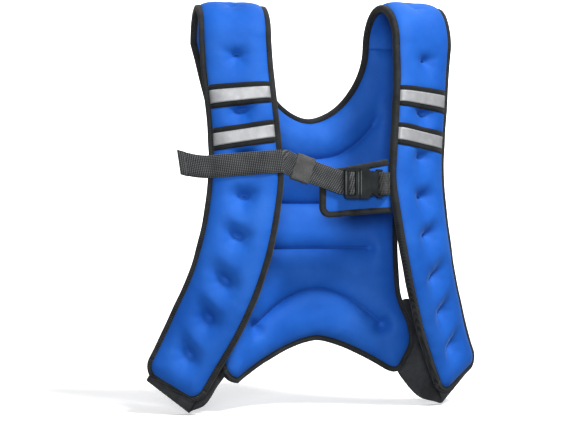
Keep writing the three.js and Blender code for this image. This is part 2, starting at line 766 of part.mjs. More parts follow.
function tapeStrip(tape) {
  return stripOnPad(tape, TAPE_WIDTH, CLEARANCE, CLEARANCE + TAPE_THICKNESS);
}

function silverStrip(tape) {
  const low = 2 * CLEARANCE + TAPE_THICKNESS;
  return stripOnPad(tape, SILVER_WIDTH, low, low + SILVER_THICKNESS);
}

// Chest strap: one length of webbing from the right pad's inner edge, round the ladder's
// middle bar and back through the keeper, over the pad, to its free end
const strapPath = seamHeight - STRAP_HEIGHT - STRAP_FALL / 2;

// How far in towards the middle a pad's binding reaches at a distance down the pad
function bindingInner(path) {
  const yaw = frontSection(path).across.angleTo(vec(1, 0, 0));
  return padPoint(path, 0).x - bindingReach * Math.cos(yaw) - bindingHalf * Math.sin(yaw);
}

const rootX = Math.min(...[-1, -0.5, 0, 0.5, 1].map((k) => bindingInner(strapPath + k * WEBBING_WIDTH)))
  - CLEARANCE;
const layer = WEBBING_THICKNESS + CLEARANCE;
const loadY = padPoint(strapPath, 0).y;
const tailY = loadY - layer;
const ladderBack = tailY - WEBBING_THICKNESS / 2 - CLEARANCE;
const ladderFront = ladderBack - LADDER_DEPTH;
const slotWidth = 2 * WEBBING_THICKNESS;
const slotOne = BUCKLE_START + LADDER_BAR;
const middleBar = slotOne + slotWidth;
const slotTwo = middleBar + MIDDLE_BAR;
const housingStart = BUCKLE_START + LADDER_LENGTH + CLEARANCE;
const housingEnd = housingStart + HOUSING_LENGTH;
const strapSlope = STRAP_FALL / (BUCKLE_START + rootX);
const strapStart = -rootX + (WEBBING_WIDTH / 2) * strapSlope; // its slanting end clears the binding

function strapHeight(x) {
  return STRAP_HEIGHT + STRAP_FALL * clamp01((BUCKLE_START - x) / (BUCKLE_START - strapStart));
}

// Stations of a strap from points, with the thickness across the bends
function webbingStations(points, normals) {
  return points.map((point, i) => {
    const before = points[Math.max(0, i - 1)];
    const after = points[Math.min(points.length - 1, i + 1)];
    const along = after.clone().sub(before).normalize();
    const across = along.clone().cross(normals[i]).normalize();
    return { point, across, normal: across.clone().cross(along).normalize() };
  });
}

const webbingProfile = (width) => [
  [width / 2, WEBBING_THICKNESS / 2],
  [-width / 2, WEBBING_THICKNESS / 2],
  [-width / 2, -WEBBING_THICKNESS / 2],
  [width / 2, -WEBBING_THICKNESS / 2],
];

// A quarter turn in the horizontal plane, as points and the normals towards its outside
function quarterTurn(centre, radius, from, to) {
  return [0, 1, 2, 3].map((k) => {
    const angle = radians(mix(from, to, k / 3));
    const away = vec(Math.cos(angle), Math.sin(angle), 0);
    return { point: centre.clone().addScaledVector(away, radius), normal: away };
  });
}

const TURN_RADIUS = 1.4;
const barRadius = CLEARANCE + WEBBING_THICKNESS / 2;
const LAYER_STEPS = 5;

function straightLayer(from, to, y) {
  return Array.from({ length: LAYER_STEPS + 1 }, (_, k) => {
    const x = mix(from, to, k / LAYER_STEPS);
    return { point: vec(x, y, strapHeight(x)), normal: vec(0, y === tailY ? -1 : 1, 0) };
  });
}

// The free end lies on the right pad and runs on past its outer edge
const TAIL_STEPS = 10;
const TAIL_LIFT = 1.7;
const KEEPER_START = 5;
const TAIL_START = 3;
const TAIL_RISE = 8;
function tailOverPad() {
  const path = seamHeight - strapHeight(strapStart);
  const { width } = padSection(path);
  const around = [-0.5, -0.25, 0, 0.25, 0.5].map((k) => path + k * WEBBING_WIDTH);
  return Array.from({ length: TAIL_STEPS + 1 }, (_, k) => {
    const side = mix(-2 * bindingReach, width + TAIL_OVERHANG, k / TAIL_STEPS);
    const onPad = Math.min(Math.max(side, 0), width);
    const tallest = Math.max(bindingHalf, ...around.map((at) => padHalf(at, onPad)));
    const normal = padNormal(path, onPad);
    const lift = tallest + TAIL_LIFT + WEBBING_THICKNESS / 2;
    const point = padPoint(path, side).addScaledVector(normal, lift);
    point.z += TAIL_RISE * clamp01((side - width) / TAIL_OVERHANG);
    return { point: point.setX(-point.x), normal: normal.setX(-normal.x) };
  });
}

function chestStrap() {
  const z = STRAP_HEIGHT;
  const loadTurn = vec(slotTwo + barRadius - TURN_RADIUS, loadY - TURN_RADIUS, z);
  const tailTurn = vec(middleBar - barRadius - TURN_RADIUS, tailY - TURN_RADIUS, z);
  const overBar = [vec(slotTwo, ladderFront, z), vec(middleBar, ladderFront, z)];
  const stations = [
    ...straightLayer(strapStart, loadTurn.x - CLEARANCE, loadY),
    ...quarterTurn(loadTurn, TURN_RADIUS, 90, 0),
    ...quarterTurn(overBar[0], barRadius, 0, -90),
    ...quarterTurn(overBar[1], barRadius, -90, -180),
    ...quarterTurn(tailTurn, TURN_RADIUS, 0, 90).map(({ point, normal }) => (
      { point, normal: normal.negate() }
    )),
    ...straightLayer(tailTurn.x - CLEARANCE, strapStart + TAIL_START, tailY),
    ...tailOverPad(),
  ];
  const points = stations.map((station) => station.point);
  const normals = stations.map((station) => station.normal);
  return sweep(webbingStations(points, normals), webbingProfile(WEBBING_WIDTH));
}

// Keeper: a flat elastic loop round both layers of the strap, in its own frame: X along the
// strap, Y through its thickness, Z across its width
function keeperLoop() {
  const ring = (half, halfDepth) => [
    [-half, -halfDepth],
    [half, -halfDepth],
    [half, halfDepth],
    [-half, halfDepth],
  ];
  const half = WEBBING_WIDTH / 2 + 4 * CLEARANCE;
  const halfDepth = layer / 2 + WEBBING_THICKNESS / 2 + CLEARANCE;
  const shape = new THREE.Shape(ring(half + KEEPER_WALL, halfDepth + KEEPER_WALL)
    .map((corner) => new THREE.Vector2(...corner)));
  shape.holes.push(new THREE.Path(ring(half, halfDepth).map((corner) => new THREE.Vector2(...corner))));
  const geometry = new THREE.ExtrudeGeometry(shape, { depth: KEEPER_LENGTH, bevelEnabled: false });
  geometry.translate(0, 0, -KEEPER_LENGTH / 2);
  geometry.rotateY(Math.PI / 2);
  return geometry;
}

// Buckle, in its own frame: X along the strap from the ladder's free side, Y forward from the
// ladder's back negative, Z across the strap
const buckleHalf = BUCKLE_HEIGHT / 2;
const LADDER_CHAMFER = 2;
const ARM_WIDTH = 4;
const ARM_DEPTH = 4;
const ARM_INSET = 2.7;
const ARM_REACH = 17;
const armOut = buckleHalf - ARM_INSET;
const armIn = armOut - ARM_WIDTH;
const armEnd = LADDER_LENGTH + ARM_REACH;
const housingHalfDepth = BUCKLE_DEPTH / 2;
const ladderMiddle = -LADDER_DEPTH / 2;

function buckleLadder() {
  const outline = [
    [0, -buckleHalf + LADDER_CHAMFER],
    [LADDER_CHAMFER, -buckleHalf],
    [LADDER_LENGTH, -buckleHalf],
    [LADDER_LENGTH, -armOut],
    [armEnd, -armOut],
    [armEnd, -armIn],
    [LADDER_LENGTH + HOUSING_WALL, -armIn],
    [LADDER_LENGTH + HOUSING_WALL, armIn],
    [armEnd, armIn],
    [armEnd, armOut],
    [LADDER_LENGTH, armOut],
    [LADDER_LENGTH, buckleHalf],
    [LADDER_CHAMFER, buckleHalf],
    [0, buckleHalf - LADDER_CHAMFER],
  ];
  const slotHalf = WEBBING_WIDTH / 2 + 2 * CLEARANCE;
  const slot = (from) => toSolid(boxBetween(
    vec(from - BUCKLE_START, -2 * LADDER_DEPTH, -slotHalf),
    vec(from - BUCKLE_START + slotWidth, LADDER_DEPTH, slotHalf),
  ));
  const frame = toSolid(plateFrom(outline, -LADDER_DEPTH, 0));
  const armsOnly = toSolid(boxBetween(
    vec(-1, ladderMiddle - ARM_DEPTH / 2, -buckleHalf - 1),
    vec(armEnd + 1, ladderMiddle + ARM_DEPTH / 2, buckleHalf + 1),
  ));
  const frameOnly = toSolid(boxBetween(
    vec(-1, -2 * LADDER_DEPTH, -buckleHalf - 1),
    vec(LADDER_LENGTH, LADDER_DEPTH, buckleHalf + 1),
  ));
  const thinned = frame.intersect(armsOnly).add(frame.intersect(frameOnly));
  return fromSolid(thinned.subtract(slot(slotOne)).subtract(slot(slotTwo)));
}

const END_BAR = 2.4;

// Upper edge of the housing: place along it as a share of HOUSING_LENGTH, and how far the
// edge lies inside the buckle's height as a share of NOTCH_DEPTH
const HOUSING_EDGE = [
  { along: 0.0, inset: 0.0 },
  { along: 0.36, inset: 0.0 },
  { along: 0.52, inset: 1.0 },
  { along: 0.78, inset: 0.45 },
  { along: 0.82, inset: 0.17 },
  { along: 1.0, inset: 0.25 },
];

function buckleHousing() {
  const start = LADDER_LENGTH + CLEARANCE;
  const end = start + HOUSING_LENGTH;
  const upper = HOUSING_EDGE.map(({ along, inset: share }) => (
    [start + along * HOUSING_LENGTH, buckleHalf - share * NOTCH_DEPTH]
  ));
  const lower = upper.map(([x, z]) => [x, -z]).reverse();
  const [front, back] = [ladderMiddle - housingHalfDepth, ladderMiddle + housingHalfDepth];
  const body = toSolid(plateFrom([...lower, ...upper], front, back));
  const hollow = toSolid(boxBetween(
    vec(start - 1, front + HOUSING_WALL, -armOut - CLEARANCE),
    vec(armEnd + CLEARANCE, back - HOUSING_WALL, armOut + CLEARANCE),
  ));
  const slotHalf = WEBBING_WIDTH / 2 + 2 * CLEARANCE;
  const slot = toSolid(boxBetween(
    vec(end - END_BAR - slotWidth, front - 1, -slotHalf),
    vec(end - END_BAR, back + 1, slotHalf),
  ));
  return fromSolid(body.subtract(hollow).subtract(slot));
}

// Short webbing from the left pad's inner edge round the housing's end bar and back
const WEBBING_BELLY = 0.3;
function buckleWebbing() {
  const z = STRAP_HEIGHT;
  const barLeft = housingEnd - END_BAR;
  const middle = ladderBack + ladderMiddle;
  const [front, back] = [middle - housingHalfDepth, middle + housingHalfDepth];
  const stations = [
    { point: vec(rootX, loadY - layer / 2, z), normal: vec(0, -1, 0) },
    { point: vec(mix(housingEnd, rootX, 0.5), mix(front, loadY, WEBBING_BELLY), z), normal: vec(0, -1, 0) },
    ...quarterTurn(vec(housingEnd, front, z), barRadius, -90, -90).slice(0, 1),
    ...quarterTurn(vec(barLeft, front, z), barRadius, -90, -180),
    ...quarterTurn(vec(barLeft, back, z), barRadius, 180, 90),
    { point: vec(housingEnd, back + barRadius, z), normal: vec(0, 1, 0) },
    { point: vec(rootX, loadY + layer / 2, z), normal: vec(0, 1, 0) },
  ];
  const points = stations.map((station) => station.point);
  const normals = stations.map((station) => station.normal);
  return sweep(webbingStations(points, normals), webbingProfile(WEBBING_WIDTH));
}

// Flap behind the buckle, sewn to the left pad's inner edge
const FLAP_SPACE = 2.7; // webbing's back to the flap's front face
const flapY = loadY + WEBBING_THICKNESS / 2 + FLAP_SPACE + FLAP_THICKNESS / 2;
const FLAP_TOP_FALL = 14;
const FLAP_BOTTOM_FALL = 6;
const FLAP_SLACK = 1.5;

const flapRoot = (z) => bindingInner(seamHeight - z) - FLAP_SLACK;

function flapOutline() {
  const top = FLAP_TOP - bindingReach;
  const bottom = FLAP_TOP - FLAP_HEIGHT + bindingReach;
  const rootTop = [flapRoot(top), top];
  const rootBottom = [flapRoot(bottom), bottom];
  const free = rootX - FLAP_REACH;
  const topCorner = [free, top - FLAP_TOP_FALL];
  const bottomCorner = [free, bottom - FLAP_BOTTOM_FALL];
  const cornerAt = (corner, from, to) => (
    bend(towards(corner, from, FLAP_CORNER), corner, towards(corner, to, FLAP_CORNER), 4)
  );
  const straight = (from, to, steps) => Array.from({ length: steps }, (_, k) => (
    [mix(from[0], to[0], k / steps), mix(from[1], to[1], k / steps)]
  ));
  const firstBend = cornerAt(bottomCorner, rootBottom, topCorner);
  const secondBend = cornerAt(topCorner, bottomCorner, rootTop);
  return [
    ...straight(rootBottom, firstBend[0], 3),
    ...firstBend,
    ...secondBend,
    ...straight(secondBend.at(-1), rootTop, 3).slice(1),
    rootTop,
  ];
}

function buckleFlap() {
  return plateFrom(flapOutline().reverse(), flapY - FLAP_THICKNESS / 2, flapY + FLAP_THICKNESS / 2);
}

function flapBinding() {
  const line = flapOutline();
  const outward = outwardAlong(line);
  const nodes = line.map(([x, z], i) => ({
    point: vec(x, flapY, z),
    normal: vec(0, -1, 0),
    outward: vec(outward[i][0], 0, outward[i][1]),
  }));
  return sweep(edgeStations(nodes), bindingProfile(FLAP_THICKNESS / 2));
}

// Points spread evenly along a polyline of [x, z], with its outward vectors
function alongLine(points, count) {
  const outward = outwardAlong(points);
  const steps = points.map(([x, z], i) => (
    i === 0 ? 0 : Math.hypot(x - points[i - 1][0], z - points[i - 1][1])
  ));
  const reached = steps.map((_, i) => steps.slice(0, i + 1).reduce((sum, step) => sum + step, 0));
  return Array.from({ length: count + 1 }, (_, k) => {
    const at = (reached.at(-1) * k) / count;
    const next = Math.max(1, reached.findIndex((length) => length >= at - CLEARANCE / 10));
    const t = clamp01((at - reached[next - 1]) / steps[next]);
    const between = (list) => [0, 1].map((axis) => mix(list[next - 1][axis], list[next][axis], t));
    return { place: between(points), out: between(outward) };
  });
}

// Side band: a stretch band from behind a pad's end, folded under it and back to the wing.
// Its fold: distances below the pad's end and behind it, as shares of BAND_FOLD
const BAND_CURVE = [
  { below: 0.85, behind: 0.12 },
  { below: 1.0, behind: 0.45 },
  { below: 0.8, behind: 0.85 },
];
const BAND_ROWS = 5;
const BAND_STEPS = 14;
const BAND_MARGIN = 0.08;
const BAND_SLACK = 0.9;
const OUTER_FOLD = 0.5; // the fold at the pad's outer edge, as a share of that at its inner edge
function sideBand({ line, hemStart }) {
  const { width } = padSection(PAD_DROP);
  const away = bindingHalf + BAND_SLACK + BAND_THICKNESS / 2;
  const top = line.findIndex(([, z]) => z < seamHeight - BAND_TOP_DROP);
  const sewnOn = alongLine(line.slice(top, hemStart + 2), BAND_ROWS);
  const grid = Array.from({ length: BAND_ROWS + 1 }, (_, k) => {
    const share = k / BAND_ROWS;
    const across = width * mix(BAND_MARGIN, 1 - BAND_MARGIN, share);
    const end = padPoint(PAD_DROP, across);
    const normal = padNormal(PAD_DROP - 1, across);
    const down = end.clone().sub(padPoint(PAD_DROP - EDGE_WIDTH, across)).normalize();
    const onPad = (below, behind) => (
      end.clone().addScaledVector(down, below).addScaledVector(normal, -away - behind)
    );
    const { place: [x, z], out } = sewnOn[BAND_ROWS - k];
    const onWing = (outside) => {
      const at = [x + outside * out[0], z + outside * out[1]];
      const behind = Math.max(bindingHalf, backHalf(...at)) + BAND_SLACK + BAND_THICKNESS / 2;
      return backPoint(...at).addScaledVector(backNormal(...at), behind);
    };
    const foldShare = mix(1, OUTER_FOLD, share);
    const fold = BAND_CURVE.map(({ below, behind }) => (
      onPad(bindingReach + below * foldShare * BAND_FOLD, behind * BAND_FOLD)
    ));
    const hanging = fold.at(-1).clone().lerp(onWing(BAND_LAP), 0.5);
    hanging.z -= BAND_SAG * (1 - share);
    const curve = new THREE.CatmullRomCurve3([
      onPad(-BAND_LAP, 0),
      onPad(bindingReach, 0),
      ...fold,
      hanging,
      onWing(BAND_LAP),
      onWing(-BAND_LAP),
    ], false, 'centripetal');
    return curve.getPoints(BAND_STEPS);
  });
  return sheet(grid, BAND_THICKNESS);
}

// A sheet of even thickness on a grid of points
function sheet(grid, thickness) {
  const within = (i, length) => Math.max(0, Math.min(length - 1, i));
  const at = (i, j) => grid[within(i, grid.length)][within(j, grid[0].length)];
  const normals = grid.map((row, i) => row.map((_, j) => {
    const down = at(i + 1, j).clone().sub(at(i - 1, j));
    const along = at(i, j + 1).clone().sub(at(i, j - 1));
    return down.cross(along).normalize();
  }));
  const face = (sign) => grid.map((row, i) => row.map((point, j) => (
    point.clone().addScaledVector(normals[i][j], (sign * thickness) / 2)
  )));
  return slab(face(1), face(-1));
}

// Finishes
const finish = (color, roughness, metalness = 0) => ({ color, roughness, metalness });
const CLOTH = finish(0x2f66d6, 0.75);
const BINDING = finish(0x24272b, 0.85);
const WEBBING = finish(0x3b3e41, 0.8);
const PLASTIC = finish(0x25282c, 0.4);
const TAPE = finish(0x1e2125, 0.8);
const SILVER = finish(0xc8ccd2, 0.45, 0.2);
const BAND = finish(0x23272c, 0.85);

// The shoulders do not stand level: heights over the shoulder seam are scaled on each side
function levelled(geometry) {
  const p = geometry.getAttribute('position');
  for (let i = 0; i < p.count; i += 1) {
    const over = p.getZ(i) - seamHeight;
    if (over > 0) {
      p.setZ(i, seamHeight + over * (p.getX(i) > 0 ? LEVEL_LEFT : LEVEL_RIGHT));
    }
  }
  return geometry;
}

function piece(name, geometry, look) {
  const mesh = new THREE.Mesh(geometry, new THREE.MeshStandardMaterial(look));
  mesh.name = name;
  return mesh;
}

const vest = new THREE.Group();
const body = new THREE.Group();
body.add(piece('back_panel', backPanel(), CLOTH));
body.add(piece('neck_binding', levelled(neckBinding()), BINDING));
body.add(piece('hem_binding', hemBinding(), BINDING));
vest.add(body);

// Wearer's left is +X, wearer's right is -X
const HANDS = [
  { name: 'left', hand: 1, side: leftSide },
  { name: 'right', hand: -1, side: rightSide },
];
HANDS.forEach(({ name, hand, side }) => {
  const half = new THREE.Group();
  half.add(piece(`front_pad_${name}`, levelled(forHand(padBody(), hand)), CLOTH));
  const armhole = levelled(forHand(armholeBinding(side), hand));
  half.add(piece(`armhole_binding_${name}`, armhole, BINDING));
  half.add(piece(`pad_end_binding_${name}`, forHand(padEndBinding(), hand), BINDING));
  half.add(piece(`side_band_${name}`, forHand(sideBand(side), hand), BAND));
  TAPES.forEach((tape) => {
    half.add(piece(`${tape.name}_tape_${name}`, forHand(tapeStrip(tape), hand), TAPE));
    half.add(piece(`${tape.name}_silver_${name}`, forHand(silverStrip(tape), hand), SILVER));
  });
  vest.add(half);
});

const chest = new THREE.Group();
chest.add(piece('chest_strap', chestStrap(), WEBBING));
chest.add(piece('buckle_webbing', buckleWebbing(), WEBBING));
chest.add(piece('buckle_flap', buckleFlap(), CLOTH));
chest.add(piece('flap_binding', flapBinding(), BINDING));
vest.add(chest);

const buckle = new THREE.Group();
buckle.position.set(BUCKLE_START, ladderBack, STRAP_HEIGHT);
buckle.add(piece('buckle_ladder', buckleLadder(), PLASTIC));
buckle.add(piece('buckle_housing', buckleHousing(), PLASTIC));
chest.add(buckle);

const keeper = piece('strap_keeper', keeperLoop(), WEBBING);
const keeperX = strapStart + KEEPER_START + KEEPER_LENGTH / 2;
keeper.position.set(keeperX, (loadY + tailY) / 2, strapHeight(keeperX));
keeper.rotation.y = Math.atan(STRAP_FALL / (BUCKLE_START - strapStart));
chest.add(keeper);

export default vest;
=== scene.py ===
import math

import bmesh
import bpy
import numpy as np
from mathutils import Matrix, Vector
from mathutils.geometry import delaunay_2d_cdt


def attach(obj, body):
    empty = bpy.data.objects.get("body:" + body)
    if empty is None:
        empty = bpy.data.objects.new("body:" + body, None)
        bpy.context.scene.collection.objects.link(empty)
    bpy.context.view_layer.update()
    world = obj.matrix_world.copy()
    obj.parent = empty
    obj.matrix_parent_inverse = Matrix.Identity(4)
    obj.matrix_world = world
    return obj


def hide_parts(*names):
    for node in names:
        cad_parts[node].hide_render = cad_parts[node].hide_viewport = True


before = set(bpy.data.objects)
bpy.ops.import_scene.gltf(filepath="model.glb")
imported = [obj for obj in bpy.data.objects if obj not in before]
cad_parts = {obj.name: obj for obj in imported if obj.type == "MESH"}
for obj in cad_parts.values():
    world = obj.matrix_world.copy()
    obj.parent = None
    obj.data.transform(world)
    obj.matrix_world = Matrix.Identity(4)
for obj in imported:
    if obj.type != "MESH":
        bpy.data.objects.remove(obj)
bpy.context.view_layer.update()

# Sizes in millimetres, the same as the solids'
STRAP_SPREAD = 104
STRAP_WIDTH = 79
PAD_WIDTH = 84
PAD_DROP = 387
PAD_CORNER = 15
ARCH_RISE = 41
ARCH_DEPTH = 73
PAD_THICKNESS = 20
EDGE_THICKNESS = 5
BACK_THICKNESS = 19
EDGE_WIDTH = 9.5
LEVEL_LEFT = 1.055
LEVEL_RIGHT = 0.89
NECK_DEPTH = 82
BACK_DROP = 340
HEM_DROP = 339
HEM_FALL = 47
WAIST_HALF = 100
WING_CORNER = 15  # rounder than in the solids, as the photo shows
WING_END_DROP = 382
WINGS = {"right": (27, 12), "left": (19, -3)}
NECK_CURVE = 1.8
BINDING_WIDTH = 6.8  # the part that shows; the filled cloth bulges over the rest
BINDING_WALL = 1.1
BINDING_FLOOR = 1.2
BINDING_SLACK = 0.6
CLEARANCE = 0.3
TAPE_WIDTH = 24.5
SILVER_WIDTH = 13.5
WEBBING_WIDTH = 25
WEBBING_THICKNESS = 1.6
STRAP_HEIGHT = -190.5
STRAP_FALL = 21
BUCKLE_START = 6.5
LADDER_LENGTH = 17
LADDER_BAR = 3.2
MIDDLE_BAR = 2.6
LADDER_DEPTH = 5.6
BUCKLE_DEPTH = 9
HOUSING_LENGTH = 26
END_BAR = 2.4
TAIL_OVERHANG = 33
TAIL_RISE = 8
TAIL_START = 3
TAIL_LEAN = 0.48  # slant of the cut end
KEEPER_START = 5
KEEPER_LENGTH = 21
KEEPER_WALL = 1.4
FLAP_THICKNESS = 4
FLAP_SPACE = 2.7
FLAP_TOP = -163
FLAP_HEIGHT = 60
FLAP_REACH = 76.5
FLAP_CORNER = 12
FLAP_TOP_FALL = 14
FLAP_BOTTOM_FALL = 6
FLAP_SLACK = 1.5
BAND_THICKNESS = 1.5
BAND_LAP = 7
BAND_FOLD = 14
BAND_SAG = 8
BAND_DROOP = 4  # how far the band falls away from the wing at its lower edge
BAND_TOP_DROP = 294

MM = 0.001
PAD_HALF = PAD_THICKNESS / 2
EDGE_HALF = EDGE_THICKNESS / 2
REACH = BINDING_FLOOR + BINDING_WALL
BOUND_HALF = EDGE_HALF + BINDING_SLACK + BINDING_WALL
SEAM = PAD_HALF - ARCH_RISE
LIP = BINDING_WIDTH - REACH
FILL_START = 3.4  # sewn edge to the start of the filling

# A front pad from the spring of the arch down: drop, out, fore, width, yaw, roll, slant
PAD_SECTIONS = [
    (0.0, 1.062, 0.5, 0.95, 14, 0, 0.0),
    (0.088, 1.043, 0.534, 0.95, 19, 0, 0.03),
    (0.191, 1.01, 0.589, 0.95, 20, 0, 0.1),
    (0.295, 0.979, 0.616, 0.97, 22, 2, 0.17),
    (0.398, 0.967, 0.616, 1.0, 23, 0, 0.02),
    (0.501, 1.012, 0.623, 1.0, 26, 6, 0.0),
    (0.605, 1.087, 0.582, 1.0, 28, 12, 0.0),
    (0.708, 1.192, 0.459, 0.99, 29, 18, 0.0),
    (0.811, 1.337, 0.267, 0.98, 29, 24, 0.0),
    (0.902, 1.486, 0.082, 0.93, 28, 28, 0.0),
    (1.0, 1.66, -0.075, 0.9, 27, 30, 0.0),
]

# Tufts down a pad's middle: drop, dent, slope of the crease, its half length, reach above it
TUFTS = [
    (-0.12, 0.5, 0.0, 7, 9),
    (0.052, 0.75, 0.0, 8, 10),
    (0.205, 0.9, 0.0, 10, 4.5),
    (0.333, 0.7, 0.1, 9, 8),
    (0.452, 0.9, 0.05, 10, 11),
    (0.563, 0.95, 0.2, 11, 12),
    (0.687, 1.0, 0.34, 13, 14),
    (0.793, 1.0, 0.36, 11, 14),
    (0.899, 0.95, 0.34, 11, 13),
]
TUFT_PIT = 5.5  # how far a tuft's stitches pull the front below the dent
PIT_FLOOR = -3  # the pits go no deeper than this past the middle layer
TACK_HALF = 2.6
TACK_PITCH = 0.8
TACK_SIZE = 0.35
TAPES = {"upper": 0.163, "lower": 0.278}

# Middle layer of the back panel: drop, back, bow
BACK_SECTIONS = [
    (0.0, 0.507, 0.012),
    (0.056, 0.524, 0.03),
    (0.115, 0.565, 0.06),
    (0.232, 0.62, 0.11),
    (0.35, 0.616, 0.15),
    (0.497, 0.555, 0.19),
    (0.644, 0.432, 0.19),
    (0.791, 0.322, 0.19),
    (0.909, 0.267, 0.18),
    (1.0, 0.253, 0.18),
    (1.15, 0.226, 0.18),
]

# Armhole edge: drop, strap share, wing share
ARMHOLE = [
    (0.0, 1.0, 0.0),
    (0.068, 0.874, 0.0),
    (0.12, 0.767, 0.0),
    (0.188, 0.628, 0.0),
    (0.291, 0.442, 0.0),
    (0.409, 0.244, 0.0),
    (0.526, 0.105, 0.0),
    (0.629, 0.035, 0.0),
    (0.726, 0.0, 0.0),
    (0.824, 0.0, 0.03),
    (0.876, 0.0, 0.24),
    (0.93, 0.0, 0.64),
]

# Sewn channels: drop, half length, fall of the ends, power, dent, ramp above, ramp below
CHANNELS = [
    (0.823, 0.78, 0.122, 1.8, 1.0, 24, 20),
    (0.688, 0.66, 0.0, 2.0, 0.95, 22, 32),
    (0.535, 0.6, 0.0, 2.0, 0.8, 20, 26),
    (0.38, 0.78, -0.12, 2.6, 1.0, 26, 24),
]
CHANNEL_ROWS = (-2.4, -1.0, 0, 1.0, 2.4)  # rows of points beside a channel
SEAM_HALF = 0.8
SEAM_RISE = 0.55

# Filling
PAD_RAMP = 21  # from the sewn edge to full thickness
BACK_RAMP = 26
STRAP_PLUMP = 0.84
PAD_PLUMP = 1.14
BACK_PLUMP = 1.15
WORN_PLUMP = 1.45  # the worn face bulges more than the rear one
BLEND_DROP = 70  # where the back panel has its full filling
TAPE_PRESS = 0.26


def mix(a, b, t):
    return a + (b - a) * t


def v3(x, y, z):
    return np.stack(np.broadcast_arrays(*(np.asarray(c, float) for c in (x, y, z))), axis=-1)


def unit(v):
    return v / np.maximum(np.linalg.norm(v, axis=-1, keepdims=True), 1e-12)


def read(rows, at):
    """A smooth reading of a table of rows at any value of its first column."""
    table = np.array(rows, float)
    keys, values = table[:, 0], table[:, 1:]
    at = np.clip(np.asarray(at, float), keys[0], keys[-1])
    i1 = np.clip(np.searchsorted(keys, at, side="right"), 1, len(keys) - 1)
    i0 = i1 - 1
    first, last = i0 == 0, i1 == len(keys) - 1
    prev = np.where(first, i1, i0 - 1)
    after = np.where(last, i0, np.minimum(i1 + 1, len(keys) - 1))
    t0, t1 = keys[i0], keys[i1]
    half = (t1 - t0) / 2
    wp, wn = half / (t0 - keys[prev]), half / (keys[after] - t1)
    p = (at - t0) / (t1 - t0)
    pp, ppp = p**2, p**3
    weights = (
        -wp * ppp + 2 * wp * pp - wp * p,
        (1 + wp) * ppp + (-1.5 - 2 * wp) * pp + (-0.5 + wp) * p + 1,
        (-1 - wn) * ppp + (1.5 + wn) * pp + 0.5 * p,
        wn * ppp - wn * pp,
    )
    found = sum(w[..., None] * values[i] for w, i in zip(weights, (prev, i0, i1, after)))
    return [found[..., k] for k in range(values.shape[1])]


def share_of(value, full):
    return np.clip(value / full, 0, 1)


def pillow(distance, ramp):
    return np.sqrt(1 - (1 - share_of(distance, ramp)) ** 2)


def gather(inside):
    """How much the cloth gathers at a distance from its sewn edge."""
    return np.exp(-np.clip(inside, 0, None) / 6) * share_of(inside, 2)


# The back panel's middle layer
def back_point(x, z):
    back, bow = read(BACK_SECTIONS, (SEAM - np.asarray(z, float)) / BACK_DROP)
    return v3(x, (back - bow * (np.asarray(x) / WAIST_HALF) ** 2) * ARCH_DEPTH, z)


def back_normal(x, z):
    up, along = back_point(x, z + 1) - back_point(x, z - 1), back_point(x + 1, z) - back_point(x - 1, z)
    return unit(np.cross(up, along))


# The middle layer of a strap and pad on the wearer's left
ARCH_LENGTH = math.pi * math.sqrt((ARCH_RISE**2 + (ARCH_DEPTH / 2) ** 2) / 2)
STRAP_INNER = STRAP_SPREAD - STRAP_WIDTH / 2
STRAP_OUTER = STRAP_SPREAD + STRAP_WIDTH / 2


def front_section(path):
    out, fore, width, yaw, roll, slant = read(PAD_SECTIONS, path / PAD_DROP)
    yaw, roll = np.radians(yaw), np.radians(roll)
    middle = v3(out * STRAP_SPREAD, -fore * ARCH_DEPTH, SEAM - path)
    across = v3(np.cos(yaw) * np.cos(roll), np.sin(yaw) * np.cos(roll), np.sin(roll))
    return middle, across, width * PAD_WIDTH - 2 * REACH, slant


def pad_section(path):
    path = np.asarray(path, float)
    middle, across, width, slant = front_section(np.maximum(path, 0))
    angle = math.pi * (1 + np.minimum(path, 0) / ARCH_LENGTH)
    share = ((1 - np.cos(angle)) / 2)[..., None]
    inner = back_point(STRAP_INNER + REACH, SEAM)
    outer = back_point(STRAP_OUTER - REACH, SEAM)
    arch = mix((inner + outer) / 2, middle, share)
    arch[..., 2] = SEAM + ARCH_RISE * np.sin(angle)
    arch_across = unit(mix(unit(outer - inner), across, share))
    arch_width = mix(np.linalg.norm(outer - inner), width, share[..., 0])
    rear = (path < 0)[..., None]
    return (
        np.where(rear, arch, middle),
        np.where(rear, arch_across, across),
        np.where(path < 0, arch_width, width),
        np.where(path < 0, 0, slant),
    )


def pad_point(path, side):
    path, side = np.broadcast_arrays(np.asarray(path, float), np.asarray(side, float))
    width, slant = pad_section(path)[2:]
    middle, across, width, _ = pad_section(path + slant * (side - width / 2))
    return middle + across * (side - width / 2)[..., None]


def pad_normal(path, side):
    path, side = np.broadcast_arrays(np.asarray(path, float), np.asarray(side, float))
    start = np.maximum(-ARCH_LENGTH, path - 1)
    along = pad_point(start + 2, side) - pad_point(start, side)
    across = pad_point(path, side + 1) - pad_point(path, side - 1)
    return unit(np.cross(along, across))


def pad_width(path):
    return pad_section(path)[2]


def round_corner(from_end, from_side):
    a, b = np.maximum(PAD_CORNER - from_end, 0), np.maximum(PAD_CORNER - from_side, 0)
    both = (a > 0) & (b > 0)
    limit = 2 * PAD_CORNER**2
    return (
        np.where(both, PAD_CORNER - a * np.sqrt(1 - b**2 / limit), from_end),
        np.where(both, PAD_CORNER - b * np.sqrt(1 - a**2 / limit), from_side),
    )


def edge_distance(from_end, from_side):
    a, b = PAD_CORNER - from_end, PAD_CORNER - from_side
    return np.where((a > 0) & (b > 0), PAD_CORNER - np.hypot(a, b), np.minimum(from_end, from_side))


